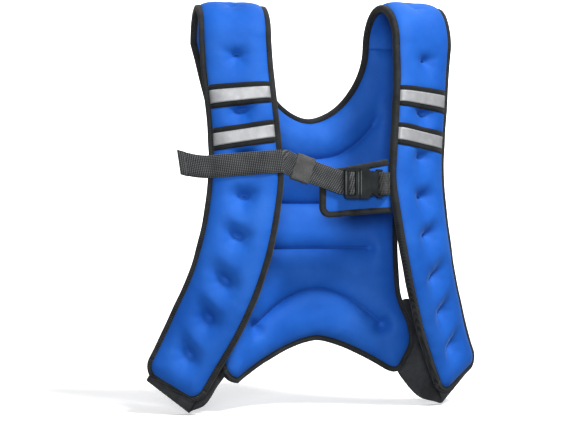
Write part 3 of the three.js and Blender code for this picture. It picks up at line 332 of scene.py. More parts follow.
def waves(a, b, seed, size):
    """Soft unevenness from a few crossing waves, about one high at most."""
    rng = np.random.default_rng(seed)
    total = 0
    for _ in range(7):
        angle, phase = rng.uniform(0, math.tau, 2)
        length = size * rng.uniform(0.7, 1.5)
        total = total + np.sin((a * math.cos(angle) + b * math.sin(angle)) * math.tau / length + phase)
    return total / 4


def tuft_shape(path, side, width):
    """Dent of the tufts, as a share of the filling, their pits and the small puckers round them."""
    dent, pucker, pit = np.zeros_like(path), np.zeros_like(path), np.zeros_like(path)
    for k, (drop, depth, slope, length, rise) in enumerate(TUFTS):
        u = side - width / 2
        v = path - drop * PAD_DROP
        crease = v + slope * u + 3 * (1 - np.exp(-((u / 12) ** 2)))
        above, below = np.exp(-((crease / (0.8 * rise)) ** 2)), np.exp(-((crease / 15) ** 2))
        wide = np.exp(-(np.abs(u / (length + 4)) ** 2.4))
        dent = np.maximum(dent, depth * wide * np.where(crease < 0, above, below))
        r, angle = np.hypot(u, v * 1.2), np.arctan2(v, u)
        pucker = pucker + np.exp(-((r / 15) ** 2)) * np.sin(angle * 7 + k * 1.3) * np.clip(r / 6, 0, 1)
        core = np.exp(-((np.abs(u) / (0.6 * length)) ** 3) - np.abs(crease / 3.8) ** 2)
        pit = np.maximum(pit, depth * core)
    return dent, pucker, pit


def pad_half(path, side, pitted=0):
    """Half thickness of a pad: the sewn edge, the filling, the tufts and the pressed tapes."""
    width = pad_width(path)
    from_side = np.minimum(side, width - side)
    inside = edge_distance(PAD_DROP - path, from_side) - FILL_START
    dent, pucker, pit = tuft_shape(path, side, width)
    pressed = 0
    for drop in TAPES.values():
        along = (path - drop * PAD_DROP) / TAPE_WIDTH
        pressed = np.maximum(pressed, TAPE_PRESS * np.exp(-((2 * along) ** 4)))
    plump = mix(STRAP_PLUMP, PAD_PLUMP, share_of(path + 40, 120))
    filled = plump * (PAD_HALF - EDGE_HALF) * pillow(inside, PAD_RAMP)
    edge_gather = 0.35 * gather(inside) * waves(path, side * 0.15, 5, 15)
    uneven = 0.45 * waves(path, side, 11, 46) * share_of(inside, 14) * share_of(path + ARCH_LENGTH, 20)
    folds = 0.5 * pucker + edge_gather + uneven
    return EDGE_HALF + filled * (1 - np.maximum(dent * 1.05, pressed)) + folds - pitted * pit


# Outlines of the back panel
def hem_height(x):
    return SEAM - HEM_DROP - HEM_FALL * (np.abs(x) / WAIST_HALF) ** 1.5


def spline(points, steps):
    """Points spread evenly on a smooth curve through the given ones."""
    pts = np.array(points, float)
    padded = np.vstack([pts[0], pts, pts[-1]])
    t = np.linspace(0, len(pts) - 1, 400)
    i = np.minimum(t.astype(int), len(pts) - 2)
    w = (t - i)[:, None]
    p0, p1, p2, p3 = (padded[i + k] for k in range(4))
    m1, m2 = (p2 - p0) / 2, (p3 - p1) / 2
    fine = (2 * p1 - 2 * p2 + m1 + m2) * w**3 + (3 * p2 - 3 * p1 - 2 * m1 - m2) * w**2 + m1 * w + p1
    return spread(fine, steps)


def lengths(points):
    return np.concatenate([[0], np.cumsum(np.linalg.norm(np.diff(points, axis=0), axis=1))])


def spread(points, steps):
    """The same line in equal steps."""
    points = np.asarray(points, float)
    reached = lengths(points)
    at = np.linspace(0, reached[-1], steps + 1)
    return np.stack([np.interp(at, reached, points[:, k]) for k in range(points.shape[1])], axis=1)


def bend(start, corner, end, steps):
    t = np.linspace(0, 1, steps + 1)[:, None]
    start, corner, end = (np.array(p, float) for p in (start, corner, end))
    return (1 - t) ** 2 * start + 2 * t * (1 - t) * corner + t**2 * end


def towards(start, end, length):
    start, end = np.array(start, float), np.array(end, float)
    return start + (end - start) * length / np.linalg.norm(end - start)


def side_outline(flare, reach):
    """Outer edge of one half, down to the middle of the hem, and its armhole part."""
    rows = [(WAIST_HALF + s * (STRAP_OUTER - WAIST_HALF) + w * flare, SEAM - d * BACK_DROP)
            for d, s, w in ARMHOLE]
    edge = spline(rows, 110)
    upper = (WAIST_HALF + flare, SEAM - BACK_DROP)
    lower = (WAIST_HALF + reach, SEAM - WING_END_DROP)
    x = np.linspace(WAIST_HALF + reach - WING_CORNER, 0, 40)
    hem = np.stack([x, hem_height(x)], axis=1)
    wing_top = bend(edge[-1], upper, towards(upper, lower, WING_CORNER), 8)
    wing_end = bend(towards(lower, upper, WING_CORNER), lower, hem[0], 8)
    straight = mix(wing_top[-1], wing_end[0], np.linspace(0, 1, 6)[1:-1, None])
    armhole = np.vstack([edge, wing_top[1:], straight, wing_end[:1]])
    return armhole, np.vstack([wing_end, hem[1:]])


def mirrored(line):
    return (line * (-1, 1))[::-1]


left_armhole, left_hem = side_outline(*WINGS["left"])
right_armhole, right_hem = side_outline(*WINGS["right"])
hem_line = np.vstack([left_hem, mirrored(right_hem)[1:]])
outer_line = np.vstack([left_armhole, hem_line[1:], mirrored(right_armhole)[1:]])


def neck_outline(steps):
    angle = np.linspace(0, math.pi, steps + 1)
    c, s = np.cos(angle), np.clip(np.sin(angle), 0, 1)
    s[[0, -1]] = 0
    x = -STRAP_INNER * np.sign(c) * np.abs(c) ** (2 / NECK_CURVE)
    return np.stack([x, SEAM - NECK_DEPTH * s ** (2 / NECK_CURVE)], axis=1)


neck_line = neck_outline(90)


def direction(points):
    """The way a line runs at each of its points."""
    return unit(np.vstack([points[1] - points[0], points[2:] - points[:-2], points[-1] - points[-2]]))


def outward(points):
    step = direction(points)
    return np.stack([-step[:, 1], step[:, 0]], axis=1)


def inset(points, distance):
    out = outward(points)
    moved = points - out * distance
    for end in (0, -1):
        moved[end] = (points[end][0] - distance / out[end][0], points[end][1])
    return moved


def distance_to(line, points):
    """Distance of each point from a polyline."""
    a, b = line[:-1], line[1:]
    best = np.full(len(points), 1e9)
    for start, end in zip(a, b):
        d = end - start
        t = np.clip(((points - start) @ d) / (d @ d), 0, 1)
        best = np.minimum(best, np.linalg.norm(points - start - t[:, None] * d, axis=1))
    return best


def unfolded(points, line, distance):
    return points[distance_to(line, points) > 0.97 * distance]


def panel_outline(distance):
    return np.vstack([unfolded(inset(line, distance), line, distance) for line in (outer_line, neck_line)])


def inside_of(outline, points):
    x, z = points[:, 0], points[:, 1]
    found = np.zeros(len(points), bool)
    for a, b in zip(outline, np.roll(outline, -1, axis=0)):
        crosses = (a[1] > z) != (b[1] > z)
        if not crosses.any():
            continue
        at = a[0] + (b[0] - a[0]) * (z - a[1]) / (b[1] - a[1] + 1e-12)
        found ^= crosses & (x < at)
    return found


def channel_height(channel, x):
    drop, half, fall, power = channel[:4]
    share = np.abs(x) / (half * WAIST_HALF)
    reach = np.minimum(share, 1) ** power + np.maximum(share - 1, 0) * power
    return SEAM - (drop + fall * reach) * BACK_DROP


def back_half(points):
    """Half thickness of the back panel with its sewn channels."""
    x, z = points[:, 0], points[:, 1]
    inside = np.minimum(distance_to(outer_line, points), distance_to(neck_line, points)) - REACH - FILL_START
    below, share = SEAM - z, share_of(SEAM - z, BLEND_DROP)
    plump = mix(STRAP_PLUMP * (PAD_HALF - EDGE_HALF), BACK_PLUMP * (BACK_THICKNESS / 2 - EDGE_HALF), share)
    filling = plump * pillow(inside, mix(PAD_RAMP, BACK_RAMP, share))
    dent = np.zeros(len(points))
    for channel in CHANNELS:
        _, half, fall, _, depth, rise, ramp = channel
        end = half * WAIST_HALF
        tilt = (channel_height(channel, x + 1) - channel_height(channel, x - 1)) / 2
        off = (z - channel_height(channel, x)) / np.sqrt(1 + tilt**2)
        near = 1 - pillow(np.abs(off), np.where(off > 0, rise, ramp))
        past = np.clip(np.abs(x) - end, 0, None)
        dent = np.maximum(dent, depth * near * np.exp(-((past / 7) ** 2)))
        if fall > 0:
            away = np.hypot(np.abs(x) - end, z - channel_height(channel, end))
            dent = np.maximum(dent, depth * np.exp(-((away / 9) ** 2)))
    uneven = 0.5 * waves(x, z, 3, 60) * share_of(inside, 16) * share_of(below, 20)
    gathers = 0.3 * gather(inside) * waves(x, z, 8, 14)
    return EDGE_HALF + filling * (1 - np.clip(dent, 0, 1)) + uneven + gathers


def back_faces(at, lift=0):
    """The back panel's middle layer and normal, and the heights of its worn and rear faces."""
    rear = np.maximum(back_half(at), 0.8)[:, None]
    worn = EDGE_HALF + (rear - EDGE_HALF) * mix(1, WORN_PLUMP, share_of(SEAM - at[:, 1:], BLEND_DROP))
    x, z = at[:, 0], at[:, 1] + lift
    return back_point(x, z), back_normal(x, z), worn, rear


# Meshes
def level(points):
    """The shoulders don't stand level: heights over the seam are scaled on each side."""
    points = np.array(points, float)
    over = points[..., 2] - SEAM
    share = np.where(points[..., 0] > 0, LEVEL_LEFT, LEVEL_RIGHT)
    points[..., 2] = np.where(over > 0, SEAM + over * share, points[..., 2])
    return points


def linked(name, data):
    obj = bpy.data.objects.new(name, data)
    bpy.context.scene.collection.objects.link(obj)
    return obj


def piece(name, points, faces, material, uv=None, hand=1):
    points = np.array(points, float).reshape(-1, 3)
    if hand == -1:
        points = points * (-1, 1, 1)
    mesh = bpy.data.meshes.new(name)
    mesh.from_pydata((level(points) * MM).tolist(), [], [list(map(int, f)) for f in faces])
    if uv is not None:
        layer = mesh.uv_layers.new(name="UVMap")
        corners = np.empty(len(mesh.loops), int)
        mesh.loops.foreach_get("vertex_index", corners)
        layer.data.foreach_set("uv", (np.array(uv, float) * MM * 10)[corners].ravel())
    bm = bmesh.new()
    bm.from_mesh(mesh)
    bmesh.ops.recalc_face_normals(bm, faces=bm.faces)
    bm.to_mesh(mesh)
    bm.free()
    mesh.shade_smooth()
    for polygon in mesh.polygons:
        if abs(polygon.center.z - SEAM * MM) < 0.0004 and abs(polygon.normal.z) > 0.9:
            polygon.use_smooth = False
    obj = linked(name, mesh)
    mesh.materials.append(material)
    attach(obj, "root")
    return obj


def slab(upper, lower):
    """Points and faces of a closed slab between two grids of points."""
    rows, columns = upper.shape[:2]
    points = np.concatenate([upper.reshape(-1, 3), lower.reshape(-1, 3)])
    top = np.arange(rows * columns).reshape(rows, columns)
    under = top + rows * columns
    faces = quads(top[:, :-1], top[:, 1:]).tolist() + quads(under[:, :-1], under[:, 1:])[:, ::-1].tolist()
    rim = np.concatenate([top[0, :], top[1:, -1], top[-1, -2::-1], top[-2:0:-1, 0]])
    rim_under = rim + rows * columns
    for k in range(len(rim)):
        n = (k + 1) % len(rim)
        faces.append([rim[k], rim_under[k], rim_under[n], rim[n]])
    return points, faces


def sweep(points, across, normal, profile):
    """A closed outline carried along stations."""
    profile = np.array(profile, float)
    rings = points[:, None] + across[:, None] * profile[None, :, :1] + normal[:, None] * profile[None, :, 1:]
    count, sides = rings.shape[:2]
    index = np.arange(count * sides).reshape(count, sides)
    ends = [index[0][::-1].tolist(), index[-1].tolist()]
    return rings.reshape(-1, 3), quads(index, np.roll(index, -1, axis=1)).tolist() + ends


def line_uv(points, place, slant=0):
    """Length along a swept piece and place round it, as a texture place."""
    place = np.tile(place, len(points))
    return np.stack([np.repeat(lengths(points), len(place) // len(points)) + place * slant, place], axis=1)


def oval(half_width, half_height, sides):
    angles = np.linspace(0, math.tau, sides + 1)[:-1]
    return [(half_width * math.cos(a), half_height * math.sin(a)) for a in angles]


def joined(parts):
    """The points and faces of several parts as one."""
    made, faces, count = [], [], 0
    for points, found in parts:
        made.append(points)
        faces += [[i + count for i in face] for face in found]
        count += len(points)
    return np.vstack(made), faces


def pattern(corners, step, shift=0.0, squeeze=1.0):
    """A regular pattern of points between two corners."""
    (left, low), (right, high) = corners
    x, z = np.meshgrid(np.arange(left, right, step), np.arange(low, high, step * squeeze))
    x[1::2] += shift
    return np.stack([x.ravel(), z.ravel()], axis=1)


def apart(gap, points, *others):
    """A line without the points that all but repeat the one before."""
    keep = np.concatenate([[True], np.linalg.norm(np.diff(points, axis=0), axis=1) > gap])
    return (points[keep], *(other[keep] for other in others))


def quads(index, after):
    """Faces between a grid of indices and the same grid one column on."""
    return np.stack([index[:-1], after[:-1], after[1:], index[1:]], axis=-1).reshape(-1, 4)


def triangulated(ring, inner):
    """Points of a panel inside a ring, the faces of its two sides, and those of its rim."""
    flat = [Vector(p) for p in np.vstack([ring, inner])]
    edges = [(k, (k + 1) % len(ring)) for k in range(len(ring))]
    verts, _, found, *_ = delaunay_2d_cdt(flat, edges, [], 1, 1e-5)
    at = np.array([tuple(v) for v in verts])
    used = np.array([list(f) for f in found if len(f) == 3])
    used = used[inside_of(ring, at[used].mean(axis=1))]
    sides = {(a, b): None for t in used for a, b in ((t[0], t[1]), (t[1], t[2]), (t[2], t[0]))}
    count = len(at)
    rim = [[b, a, a + count, b + count] for a, b in sides if (b, a) not in sides]
    return at, used.tolist() + (used[:, ::-1] + count).tolist() + rim


# Materials, all from procedural nodes
class Surface:
    """A new material, with one short call for each kind of node."""

    def __init__(self, name):
        self.material = bpy.data.materials.new(name)
        self.material.use_nodes = True
        self.nodes = self.material.node_tree.nodes
        self.object_place = self.coordinates("Object")

    def feed(self, node, values):
        """Link a node's inputs to sockets, or set them."""
        for key, value in values.items():
            if isinstance(value, bpy.types.NodeSocket):
                self.material.node_tree.links.new(value, node.inputs[key])
            else:
                node.inputs[key].default_value = value

    def node(self, kind, values):
        node = self.nodes.new("ShaderNode" + kind)
        self.feed(node, values)
        return node

    def coordinates(self, name):
        return self.nodes.new("ShaderNodeTexCoord").outputs[name]

    def noise(self, scale, detail=4.0, rough=0.5):
        values = {"Scale": scale, "Detail": detail, "Roughness": rough, "Vector": self.object_place}
        return self.node("TexNoise", values).outputs["Fac"]

    def ribs(self, place, scale, way="X", distortion=0.0):
        values = {"Scale": scale, "Distortion": distortion, "Detail": 1.0, "Vector": place}
        node = self.node("TexWave", values)
        node.bands_direction = way
        return node.outputs["Fac"]

    def ramp(self, fac, stops):
        node = self.node("ValToRGB", {"Fac": fac})
        elements = node.color_ramp.elements
        while len(elements) < len(stops):
            elements.new(0.5)
        for element, (place, colour) in zip(elements, stops):
            element.position = place
            element.color = (*colour, 1)
        return node.outputs["Color"]

    def bump(self, height, strength, distance, **under):
        values = {"Strength": strength, "Distance": distance, "Height": height, **under}
        return self.node("Bump", values).outputs["Normal"]

    def combine(self, operation, a, b):
        node = self.node("Math", {0: a, 1: b})
        node.operation = operation
        return node.outputs[0]

    def blend(self, a, b, share):
        """A share of one value and the rest of the other."""
        rest = self.combine("MULTIPLY", b, 1 - share)
        return self.combine("ADD", self.combine("MULTIPLY", a, share), rest)

    def finished(self, values):
        self.feed(self.nodes["Principled BSDF"], values)
        return self.material


def cloth_material():
    """Stretch knit in bright blue: a fine knit, slight cloudiness and a soft sheen."""
    look = Surface("blue_knit")
    place = look.object_place
    shades = [(0.3, (0.011, 0.099, 0.385)), (0.55, (0.019, 0.124, 0.44)), (0.8, (0.036, 0.157, 0.50))]
    knit = look.combine("MULTIPLY", look.ribs(place, 420, "DIAGONAL"), look.ribs(place, 300, "Z"))
    fine = look.bump(look.combine("ADD", knit, look.noise(900, 2)), 0.35, 0.0002)
    return look.finished({
        "Base Color": look.ramp(look.noise(14, 5, 0.6), shades),
        "Normal": look.bump(look.noise(55, 3), 0.25, 0.0009, Normal=fine),
        "Roughness": 0.62,
        "Sheen Weight": 0.22,
        "Sheen Roughness": 0.35,
        "Sheen Tint": (0.45, 0.65, 1.0, 1),
        "Specular IOR Level": 0.2,
    })


def dark_material(name, low, high, ribs, rough=0.8, source="Object", way="DIAGONAL"):
    """Dark woven or knitted trim: fine ribs, worn lighter in places."""
    look = Surface(name)
    rib = look.ribs(look.coordinates(source), ribs, way, 0.4)
    blend = look.blend(look.noise(60, 5, 0.65), rib, 0.7)
    return look.finished({
        "Base Color": look.ramp(blend, [(0.3, low), (0.75, high)]),
        "Normal": look.bump(look.combine("ADD", rib, look.noise(1400, 2)), 0.5, 0.0003),
        "Roughness": rough,
        "Sheen Weight": 0.12,
        "Sheen Roughness": 0.5,
        "Specular IOR Level": 0.3,
    })


def webbing_material(name, shade):
    """Woven webbing: slanting ribs along the strip crossed by fine yarns; a shade below one darkens every
    colour, as painted shade.
    """
    look = Surface(name)
    place = look.coordinates("UV")
    yarns = look.combine("ADD", look.ribs(place, 17, "Y", 0.3), 0.35)
    weave = look.combine("MULTIPLY", look.ribs(place, 13, "X", 0.5), yarns)
    shades = [
        (0.15, (0.004, 0.0045, 0.005)),
        (0.4, (0.032 * shade, 0.035 * shade, 0.038 * shade)),
        (0.75, (0.13 * shade, 0.137 * shade, 0.14 * shade)),
    ]
    return look.finished({
        "Base Color": look.ramp(look.blend(weave, look.noise(70, 4), 0.6), shades),
        "Normal": look.bump(weave, 0.9, 0.0006),
        "Roughness": 0.7,
        "Sheen Weight": 0.2,
    })


def silver_material():
    """Grey reflective cloth with a fine grid."""
    look = Surface("reflective_cloth")
    place = look.coordinates("UV")
    grid = look.combine("MULTIPLY", look.ribs(place, 26, "X"), look.ribs(place, 26, "Y"))
    blend = look.blend(grid, look.noise(90, 5, 0.6), 0.4)
    return look.finished({
        "Base Color": look.ramp(blend, [(0.2, (0.25, 0.255, 0.265)), (0.7, (0.42, 0.425, 0.435))]),
        "Normal": look.bump(blend, 0.3, 0.0003),
        "Roughness": 0.5,
        "Metallic": 0.15,
    })


def plastic_material(name, low, high):
    """Moulded dark plastic with a fine grain, a little lighter where it is handled."""
    look = Surface(name)
    cloud = look.noise(80, 5, 0.6)
    return look.finished({
        "Base Color": look.ramp(cloud, [(0.3, low), (0.75, high)]),
        "Normal": look.bump(look.noise(1500, 2), 0.2, 0.0002),
        "Roughness": look.ramp(cloud, [(0.2, (0.28,) * 3), (0.8, (0.42,) * 3)]),
    })


CLOTH = cloth_material()
BINDING = dark_material("binding_tape", (0.009, 0.0098, 0.0105), (0.042, 0.045, 0.047), 260)
BAND = dark_material("stretch_band", (0.022, 0.025, 0.028), (0.080, 0.085, 0.092), 330, 0.85, "Object", "X")
TAPE = dark_material("sewn_tape", (0.006, 0.007, 0.009), (0.02, 0.022, 0.024), 300)
ELASTIC = dark_material("flat_elastic", (0.05, 0.052, 0.052), (0.15, 0.152, 0.148), 210, 0.6, "UV", "X")
# Dark navy for the channel seams and tuft stitches: the stitching, darkened as painted shade of the creases
# and pits.
SEAM_AND_PAINTED_SHADE = dark_material("seam_navy_painted_shade", (0.002, 0.012, 0.07), (0.006, 0.03, 0.16), 900)
THREAD = dark_material("thread", (0.02, 0.022, 0.025), (0.06, 0.062, 0.065), 900)
WEBBING = webbing_material("woven_webbing", 1)
# The same webbing at about a third of its brightness for the loop in the buckle: painted shade.
SHADED_WEBBING = webbing_material("webbing_painted_shade", 0.35)
SILVER = silver_material()
PLASTIC = plastic_material("moulded_plastic", (0.010, 0.013, 0.014), (0.024, 0.029, 0.031))
# Lighter plastic for the rims along the buckle's bars: wear and painted highlights.
RUBBED_AND_HIGHLIT = plastic_material("rubbed_plastic_painted_highlight", (0.05, 0.056, 0.058), (0.11, 0.12, 0.12))

SIDES = (("left", 1, left_armhole), ("right", -1, right_armhole))


# Front pads
def pad_rows():
    return np.concatenate([
        np.linspace(-ARCH_LENGTH, 0, 46)[:-1],
        np.linspace(0, PAD_DROP - PAD_CORNER, 150)[:-1],
        PAD_DROP - PAD_CORNER * (1 - np.sin(np.linspace(0, math.pi / 2, 9))),
    ])


def pad_grid():
    edge, shares = np.array([0, 2, 3.4, 4, 4.7, 5.6, 7, 9]), np.linspace(0, 1, 24)[1:-1]
    rows = pad_rows()
    width = pad_width(rows)[:, None]
    inner = np.broadcast_to(edge, (len(rows), len(edge)))
    middle = mix(edge[-1], width - edge[-1], shares[None])
    side = np.hstack([inner, middle, width - edge[::-1]])
    path = np.repeat(rows[:, None], side.shape[1], axis=1)
    outer = side > width / 2
    from_end, from_side = round_corner(PAD_DROP - path, np.where(outer, width - side, side))
    return PAD_DROP - from_end, np.where(outer, width - from_side, from_side)


def make_pads():
    path, side = pad_grid()
    middle, normal = pad_point(path, side), pad_normal(path, side)
    front = np.maximum(pad_half(path, side, TUFT_PIT), PIT_FLOOR)[..., None]
    thinner = mix(1, 0.9, share_of(path + ARCH_LENGTH, 40))
    back = np.maximum(pad_half(path, side) * thinner, 2)[..., None]
    points, faces = slab(middle + normal * front, middle - normal * back)
    for name, hand, _ in SIDES:
        obj = piece(f"front_pad_{name}_cloth", points, faces, CLOTH, hand=hand)
        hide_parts(f"front_pad_{name}")


# Back panel
EDGE_RINGS = (3.4, 4.1, 5.0, 6.4, 8.4, 10.8)  # rows of points beside the sewn edge
PITCH = 3.2


def make_back():
    ring = panel_outline(REACH)
    ring = spread(np.vstack([ring, ring[:1]]), 460)[:-1]
    closed = np.vstack([ring, ring[:1]])
    grid = pattern(((-150, -430), (150, SEAM)), PITCH, PITCH / 2, 0.87)
    grid = grid[inside_of(ring, grid)]
    grid = grid[distance_to(closed, grid) > EDGE_RINGS[-1] + PITCH * 0.6]
    rows = []
    for channel in CHANNELS:
        reach = channel[1] * WAIST_HALF
        row = np.arange(-reach, reach, 2.2)
        height = channel_height(channel, row)
        grid = grid[np.abs(np.interp(grid[:, 0], row, height, -999, -999) - grid[:, 1]) > 4]
        rows += [np.stack([row, height + off], axis=1) for off in CHANNEL_ROWS]
    for away in EDGE_RINGS:
        for line in (outer_line, neck_line):
            row = inset(spread(line, int(lengths(line)[-1] / 2.4)), REACH + away)[1:-1]
            rows.append(unfolded(row, line, REACH + away))
    rows = np.vstack(rows)
    rows = rows[inside_of(ring, rows) & (distance_to(closed, rows) > 1.2)]
    at, faces = triangulated(ring, np.vstack([rows, grid]))
    lift = np.where(at[:, 1] > SEAM - 0.05, 0.1, 0)  # the top meets the pads' ends
    middle, normal, worn, rear = back_faces(at, lift)
    points = np.vstack([middle - normal * worn, middle + normal * rear])
    obj = piece("back_panel_cloth", points, faces, CLOTH)
    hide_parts("back_panel")


def make_channel_seams():
    """The sunk seam along each channel, on both faces of the panel, in dark navy that also paints the
    crease's shade.
    """
    for number, channel in enumerate(CHANNELS, 1):
        reach = 0.97 * channel[1] * WAIST_HALF
        x = np.linspace(-reach, reach, 120)
        middle, normal, worn, rear = back_faces(np.stack([x, channel_height(channel, x)], axis=1))
        across = unit(np.cross(normal, unit(np.gradient(middle, axis=0))))
        taper = np.clip((reach - np.abs(x)) / 6, 0.1, 1)[:, None]
        for face, height, sign in (("worn", worn, -1), ("rear", rear, 1)):
            made, faces = sweep(middle + normal * height * sign, across * taper, normal * taper * sign,
                                oval(SEAM_HALF, SEAM_RISE, 8))
            piece(f"channel_seam_{number}_{face}", made, faces, SEAM_AND_PAINTED_SHADE)


# Bindings
def binding_profile(half):
    wall_in = half + 0.35
    wall_out = half + BINDING_SLACK + BINDING_WALL
    lip = REACH - BINDING_WIDTH
    fold = [(REACH - wall_out * 0.5 * (1 - math.cos(a)), wall_out * 0.97 * math.sin(a))
            for a in np.linspace(0.15, math.pi / 2, 7)]
    upper = [(REACH, 0.0)] + fold + [
        (lip * 0.45, wall_out * 1.04),
        (lip + 1.6, wall_out * 0.95),
        (lip + 0.6, wall_out * 0.96),
        (lip, wall_out * 0.86),
        (lip + 0.1, wall_in),
    ]
    lower = [(a, -n) for a, n in upper[1:]]
    return upper + [(0.0, wall_in), (0.0, -wall_in)] + lower[::-1]


STITCH_PITCH = 3.4
STITCH_LENGTH = 2.3
STITCH_HALF = 0.42
STITCH_FACES = [[0, 1, 2, 8], [2, 3, 4, 8], [4, 5, 6, 8], [6, 7, 0, 8], [0, 7, 6, 5, 4, 3, 2, 1]]


def stitch_row(points, across, normals, place, height):
    """A row of small raised stitches beside an edge, on both faces."""
    line = points + across * place
    reached = lengths(line)
    starts = np.arange(1.0, reached[-1] - STITCH_LENGTH, STITCH_PITCH)
    ends = starts + STITCH_LENGTH
    faces = [[9 * k + i for i in face] for k in range(len(starts)) for face in STITCH_FACES]
    parts = []

    def at(values, where):
        return np.stack([np.interp(where, reached, values[:, k]) for k in range(3)], axis=1)

    for sign in (1, -1):
        a = at(line, starts) + at(normals, starts) * height * sign
        b = at(line, ends) + at(normals, ends) * height * sign
        up, wide = at(normals, starts) * sign * STITCH_HALF, at(across, starts) * STITCH_HALF
        middle = (a + b) / 2 + up * 0.8
        ring = [a - up * 0.5, a + wide, middle + wide * 0.8, b + wide,
                b - up * 0.5, b - wide, middle - wide * 0.8, a - wide]
        parts.append((np.stack(ring + [middle], axis=1).reshape(-1, 3), faces))
    return joined(parts)


def make_binding(name, node, nodes_list, half=EDGE_HALF, hand=1, seed=1):
    points, normals, outs = (np.vstack([n[k] for n in nodes_list]) for k in range(3))
    points, normals, outs = apart(0.4, points, normals, outs)
    across = unit(np.cross(direction(points), normals))
    across = across * np.sign((across * outs).sum(axis=1))[:, None]
    along = lengths(points)
    points = points + across * (0.25 * waves(along, along * 0, seed, 34))[:, None]
    profile = binding_profile(half)
    made, faces = sweep(points, across, normals, profile)
    obj = piece(name, made, faces, BINDING, line_uv(points, np.arange(len(profile)) * 2.0), hand)
    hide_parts(node)
    place = REACH - BINDING_WIDTH + 1.5
    made, faces = stitch_row(points, across, normals, place, half + BINDING_SLACK + BINDING_WALL - 0.15)
    piece(f"{name}_stitches", made, faces, THREAD, hand=hand)


def pad_edge(path, side):
    """Points, normals and outward directions at places on a pad's edge."""
    width = pad_width(path)
    centre_path = np.minimum(path, PAD_DROP - PAD_CORNER)
    centre_side = np.clip(side, PAD_CORNER, width - PAD_CORNER)
    point = pad_point(path, side)
    outs = point - pad_point(mix(path, centre_path, 0.1), mix(side, centre_side, 0.1))
    return point, pad_normal(path, side), outs


def pad_corner_nodes(outer):
    a = np.linspace(0, math.pi / 2, 9)
    path = PAD_DROP - PAD_CORNER + PAD_CORNER * np.sin(a)
    width = pad_width(path)
    side = PAD_CORNER - PAD_CORNER * np.cos(a)
    return pad_edge(path, width - side if outer else side)


def panel_nodes(line):
    out = outward(line)
    at = inset(line, REACH)
    point = back_point(at[:, 0], at[:, 1])
    outs = back_point(at[:, 0] + out[:, 0], at[:, 1] + out[:, 1]) - point
    return point, back_normal(at[:, 0], at[:, 1]), outs


def turned(nodes):
    return tuple(n[::-1] for n in nodes)


def mirrored_nodes(nodes):
    return tuple(n * (-1, 1, 1) for n in nodes)


def make_bindings():
    rows = pad_rows()
    rows = rows[rows <= PAD_DROP - PAD_CORNER]
    inner = pad_edge(rows, rows * 0.0)
    outer = pad_edge(rows, pad_width(rows))
    neck = tuple(n[1:-1] for n in panel_nodes(neck_line))
    make_binding("neck_binding_fold", "neck_binding", [turned(mirrored_nodes(inner)), neck, inner], seed=2)
    for name, hand, armhole in SIDES:
        line = tuple(n[1:] for n in panel_nodes(armhole))
        make_binding(f"armhole_binding_{name}_fold", f"armhole_binding_{name}", [turned(outer), line],
                     hand=hand, seed=4)
        width = float(pad_width(PAD_DROP))
        side = np.linspace(PAD_CORNER, width - PAD_CORNER, 16)[1:-1]
        end = pad_edge(side * 0 + PAD_DROP, side)
        make_binding(f"pad_end_binding_{name}_fold", f"pad_end_binding_{name}",
                     [pad_corner_nodes(False), end, turned(pad_corner_nodes(True))], hand=hand, seed=6)
    make_binding("hem_binding_fold", "hem_binding", [panel_nodes(hem_line)], seed=9)


# Reflective tapes
def strip_on_pad(drop, width, low, high):
    path = np.linspace(drop * PAD_DROP - width / 2, drop * PAD_DROP + width / 2, 9)
    share = np.linspace(0, 1, 40)
    path, share = np.meshgrid(path, share, indexing="ij")
    width = pad_width(path)
    side = mix(LIP - 0.7, width - LIP + 0.7, share)
    ends = np.clip((np.minimum(side, width - side) - LIP + 1) / 2.5, 0.15, 1)
    middle, normal = pad_point(path, side), pad_normal(path, side)
    half = pad_half(path, side)
    wrinkle = 0.25 * waves(path * 2, side, 21, 30)
    upper = middle + normal * (half + (high + wrinkle) * ends)[..., None]
    lower = middle + normal * (half + low * ends + wrinkle * 0.5 - 0.2)[..., None]
    points, faces = slab(upper, lower)
    uv = np.stack([side.ravel(), path.ravel()], axis=1)
    return points, faces, np.vstack([uv, uv])


def make_tapes():
    for tape, drop in TAPES.items():
        for name, hand, _ in SIDES:
            for kind, width, low, high, material in (
                    ("tape", TAPE_WIDTH, -0.6, 0.9, TAPE), ("silver", SILVER_WIDTH, 0.7, 1.5, SILVER)):
                points, faces, uv = strip_on_pad(drop, width, low, high)
                obj = piece(f"{tape}_{kind}_{name}_cloth", points, faces, material, uv, hand)
                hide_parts(f"{tape}_{kind}_{name}")


# Tack stitches in the tufts, in dark navy that paints the shade of the pits
def make_tacks():
    t = np.linspace(-1, 1, 7)
    parts = []
    for drop, _, slope, *_ in TUFTS:
        middle = drop * PAD_DROP
        side = float(pad_width(middle)) / 2 + t * TACK_HALF
        for k in (-1, 0, 1):
            path = middle + k * TACK_PITCH - slope * t * TACK_HALF
            half = np.maximum(pad_half(path, side, TUFT_PIT), PIT_FLOOR)
            normal = pad_normal(path, side)
            point = pad_point(path, side) + normal * (half + 0.1 * (1 - t**2))[:, None]
            wide = unit(np.cross(unit(np.gradient(point, axis=0)), normal))
            parts.append(sweep(point, wide, normal, oval(TACK_SIZE, TACK_SIZE, 6)))
    points, faces = joined(parts)
    for name, hand, _ in SIDES:
        piece(f"tuft_stitches_{name}", points, faces, SEAM_AND_PAINTED_SHADE, hand=hand)


# Chest strap
STRAP_PATH = SEAM - STRAP_HEIGHT - STRAP_FALL / 2


def binding_inner(path):
    path = np.asarray(path, float)
    across = front_section(path)[1]
    yaw = np.arccos(np.clip(across[..., 0], -1, 1))
    return pad_point(path, path * 0)[..., 0] - REACH * np.cos(yaw) - BOUND_HALF * np.sin(yaw)


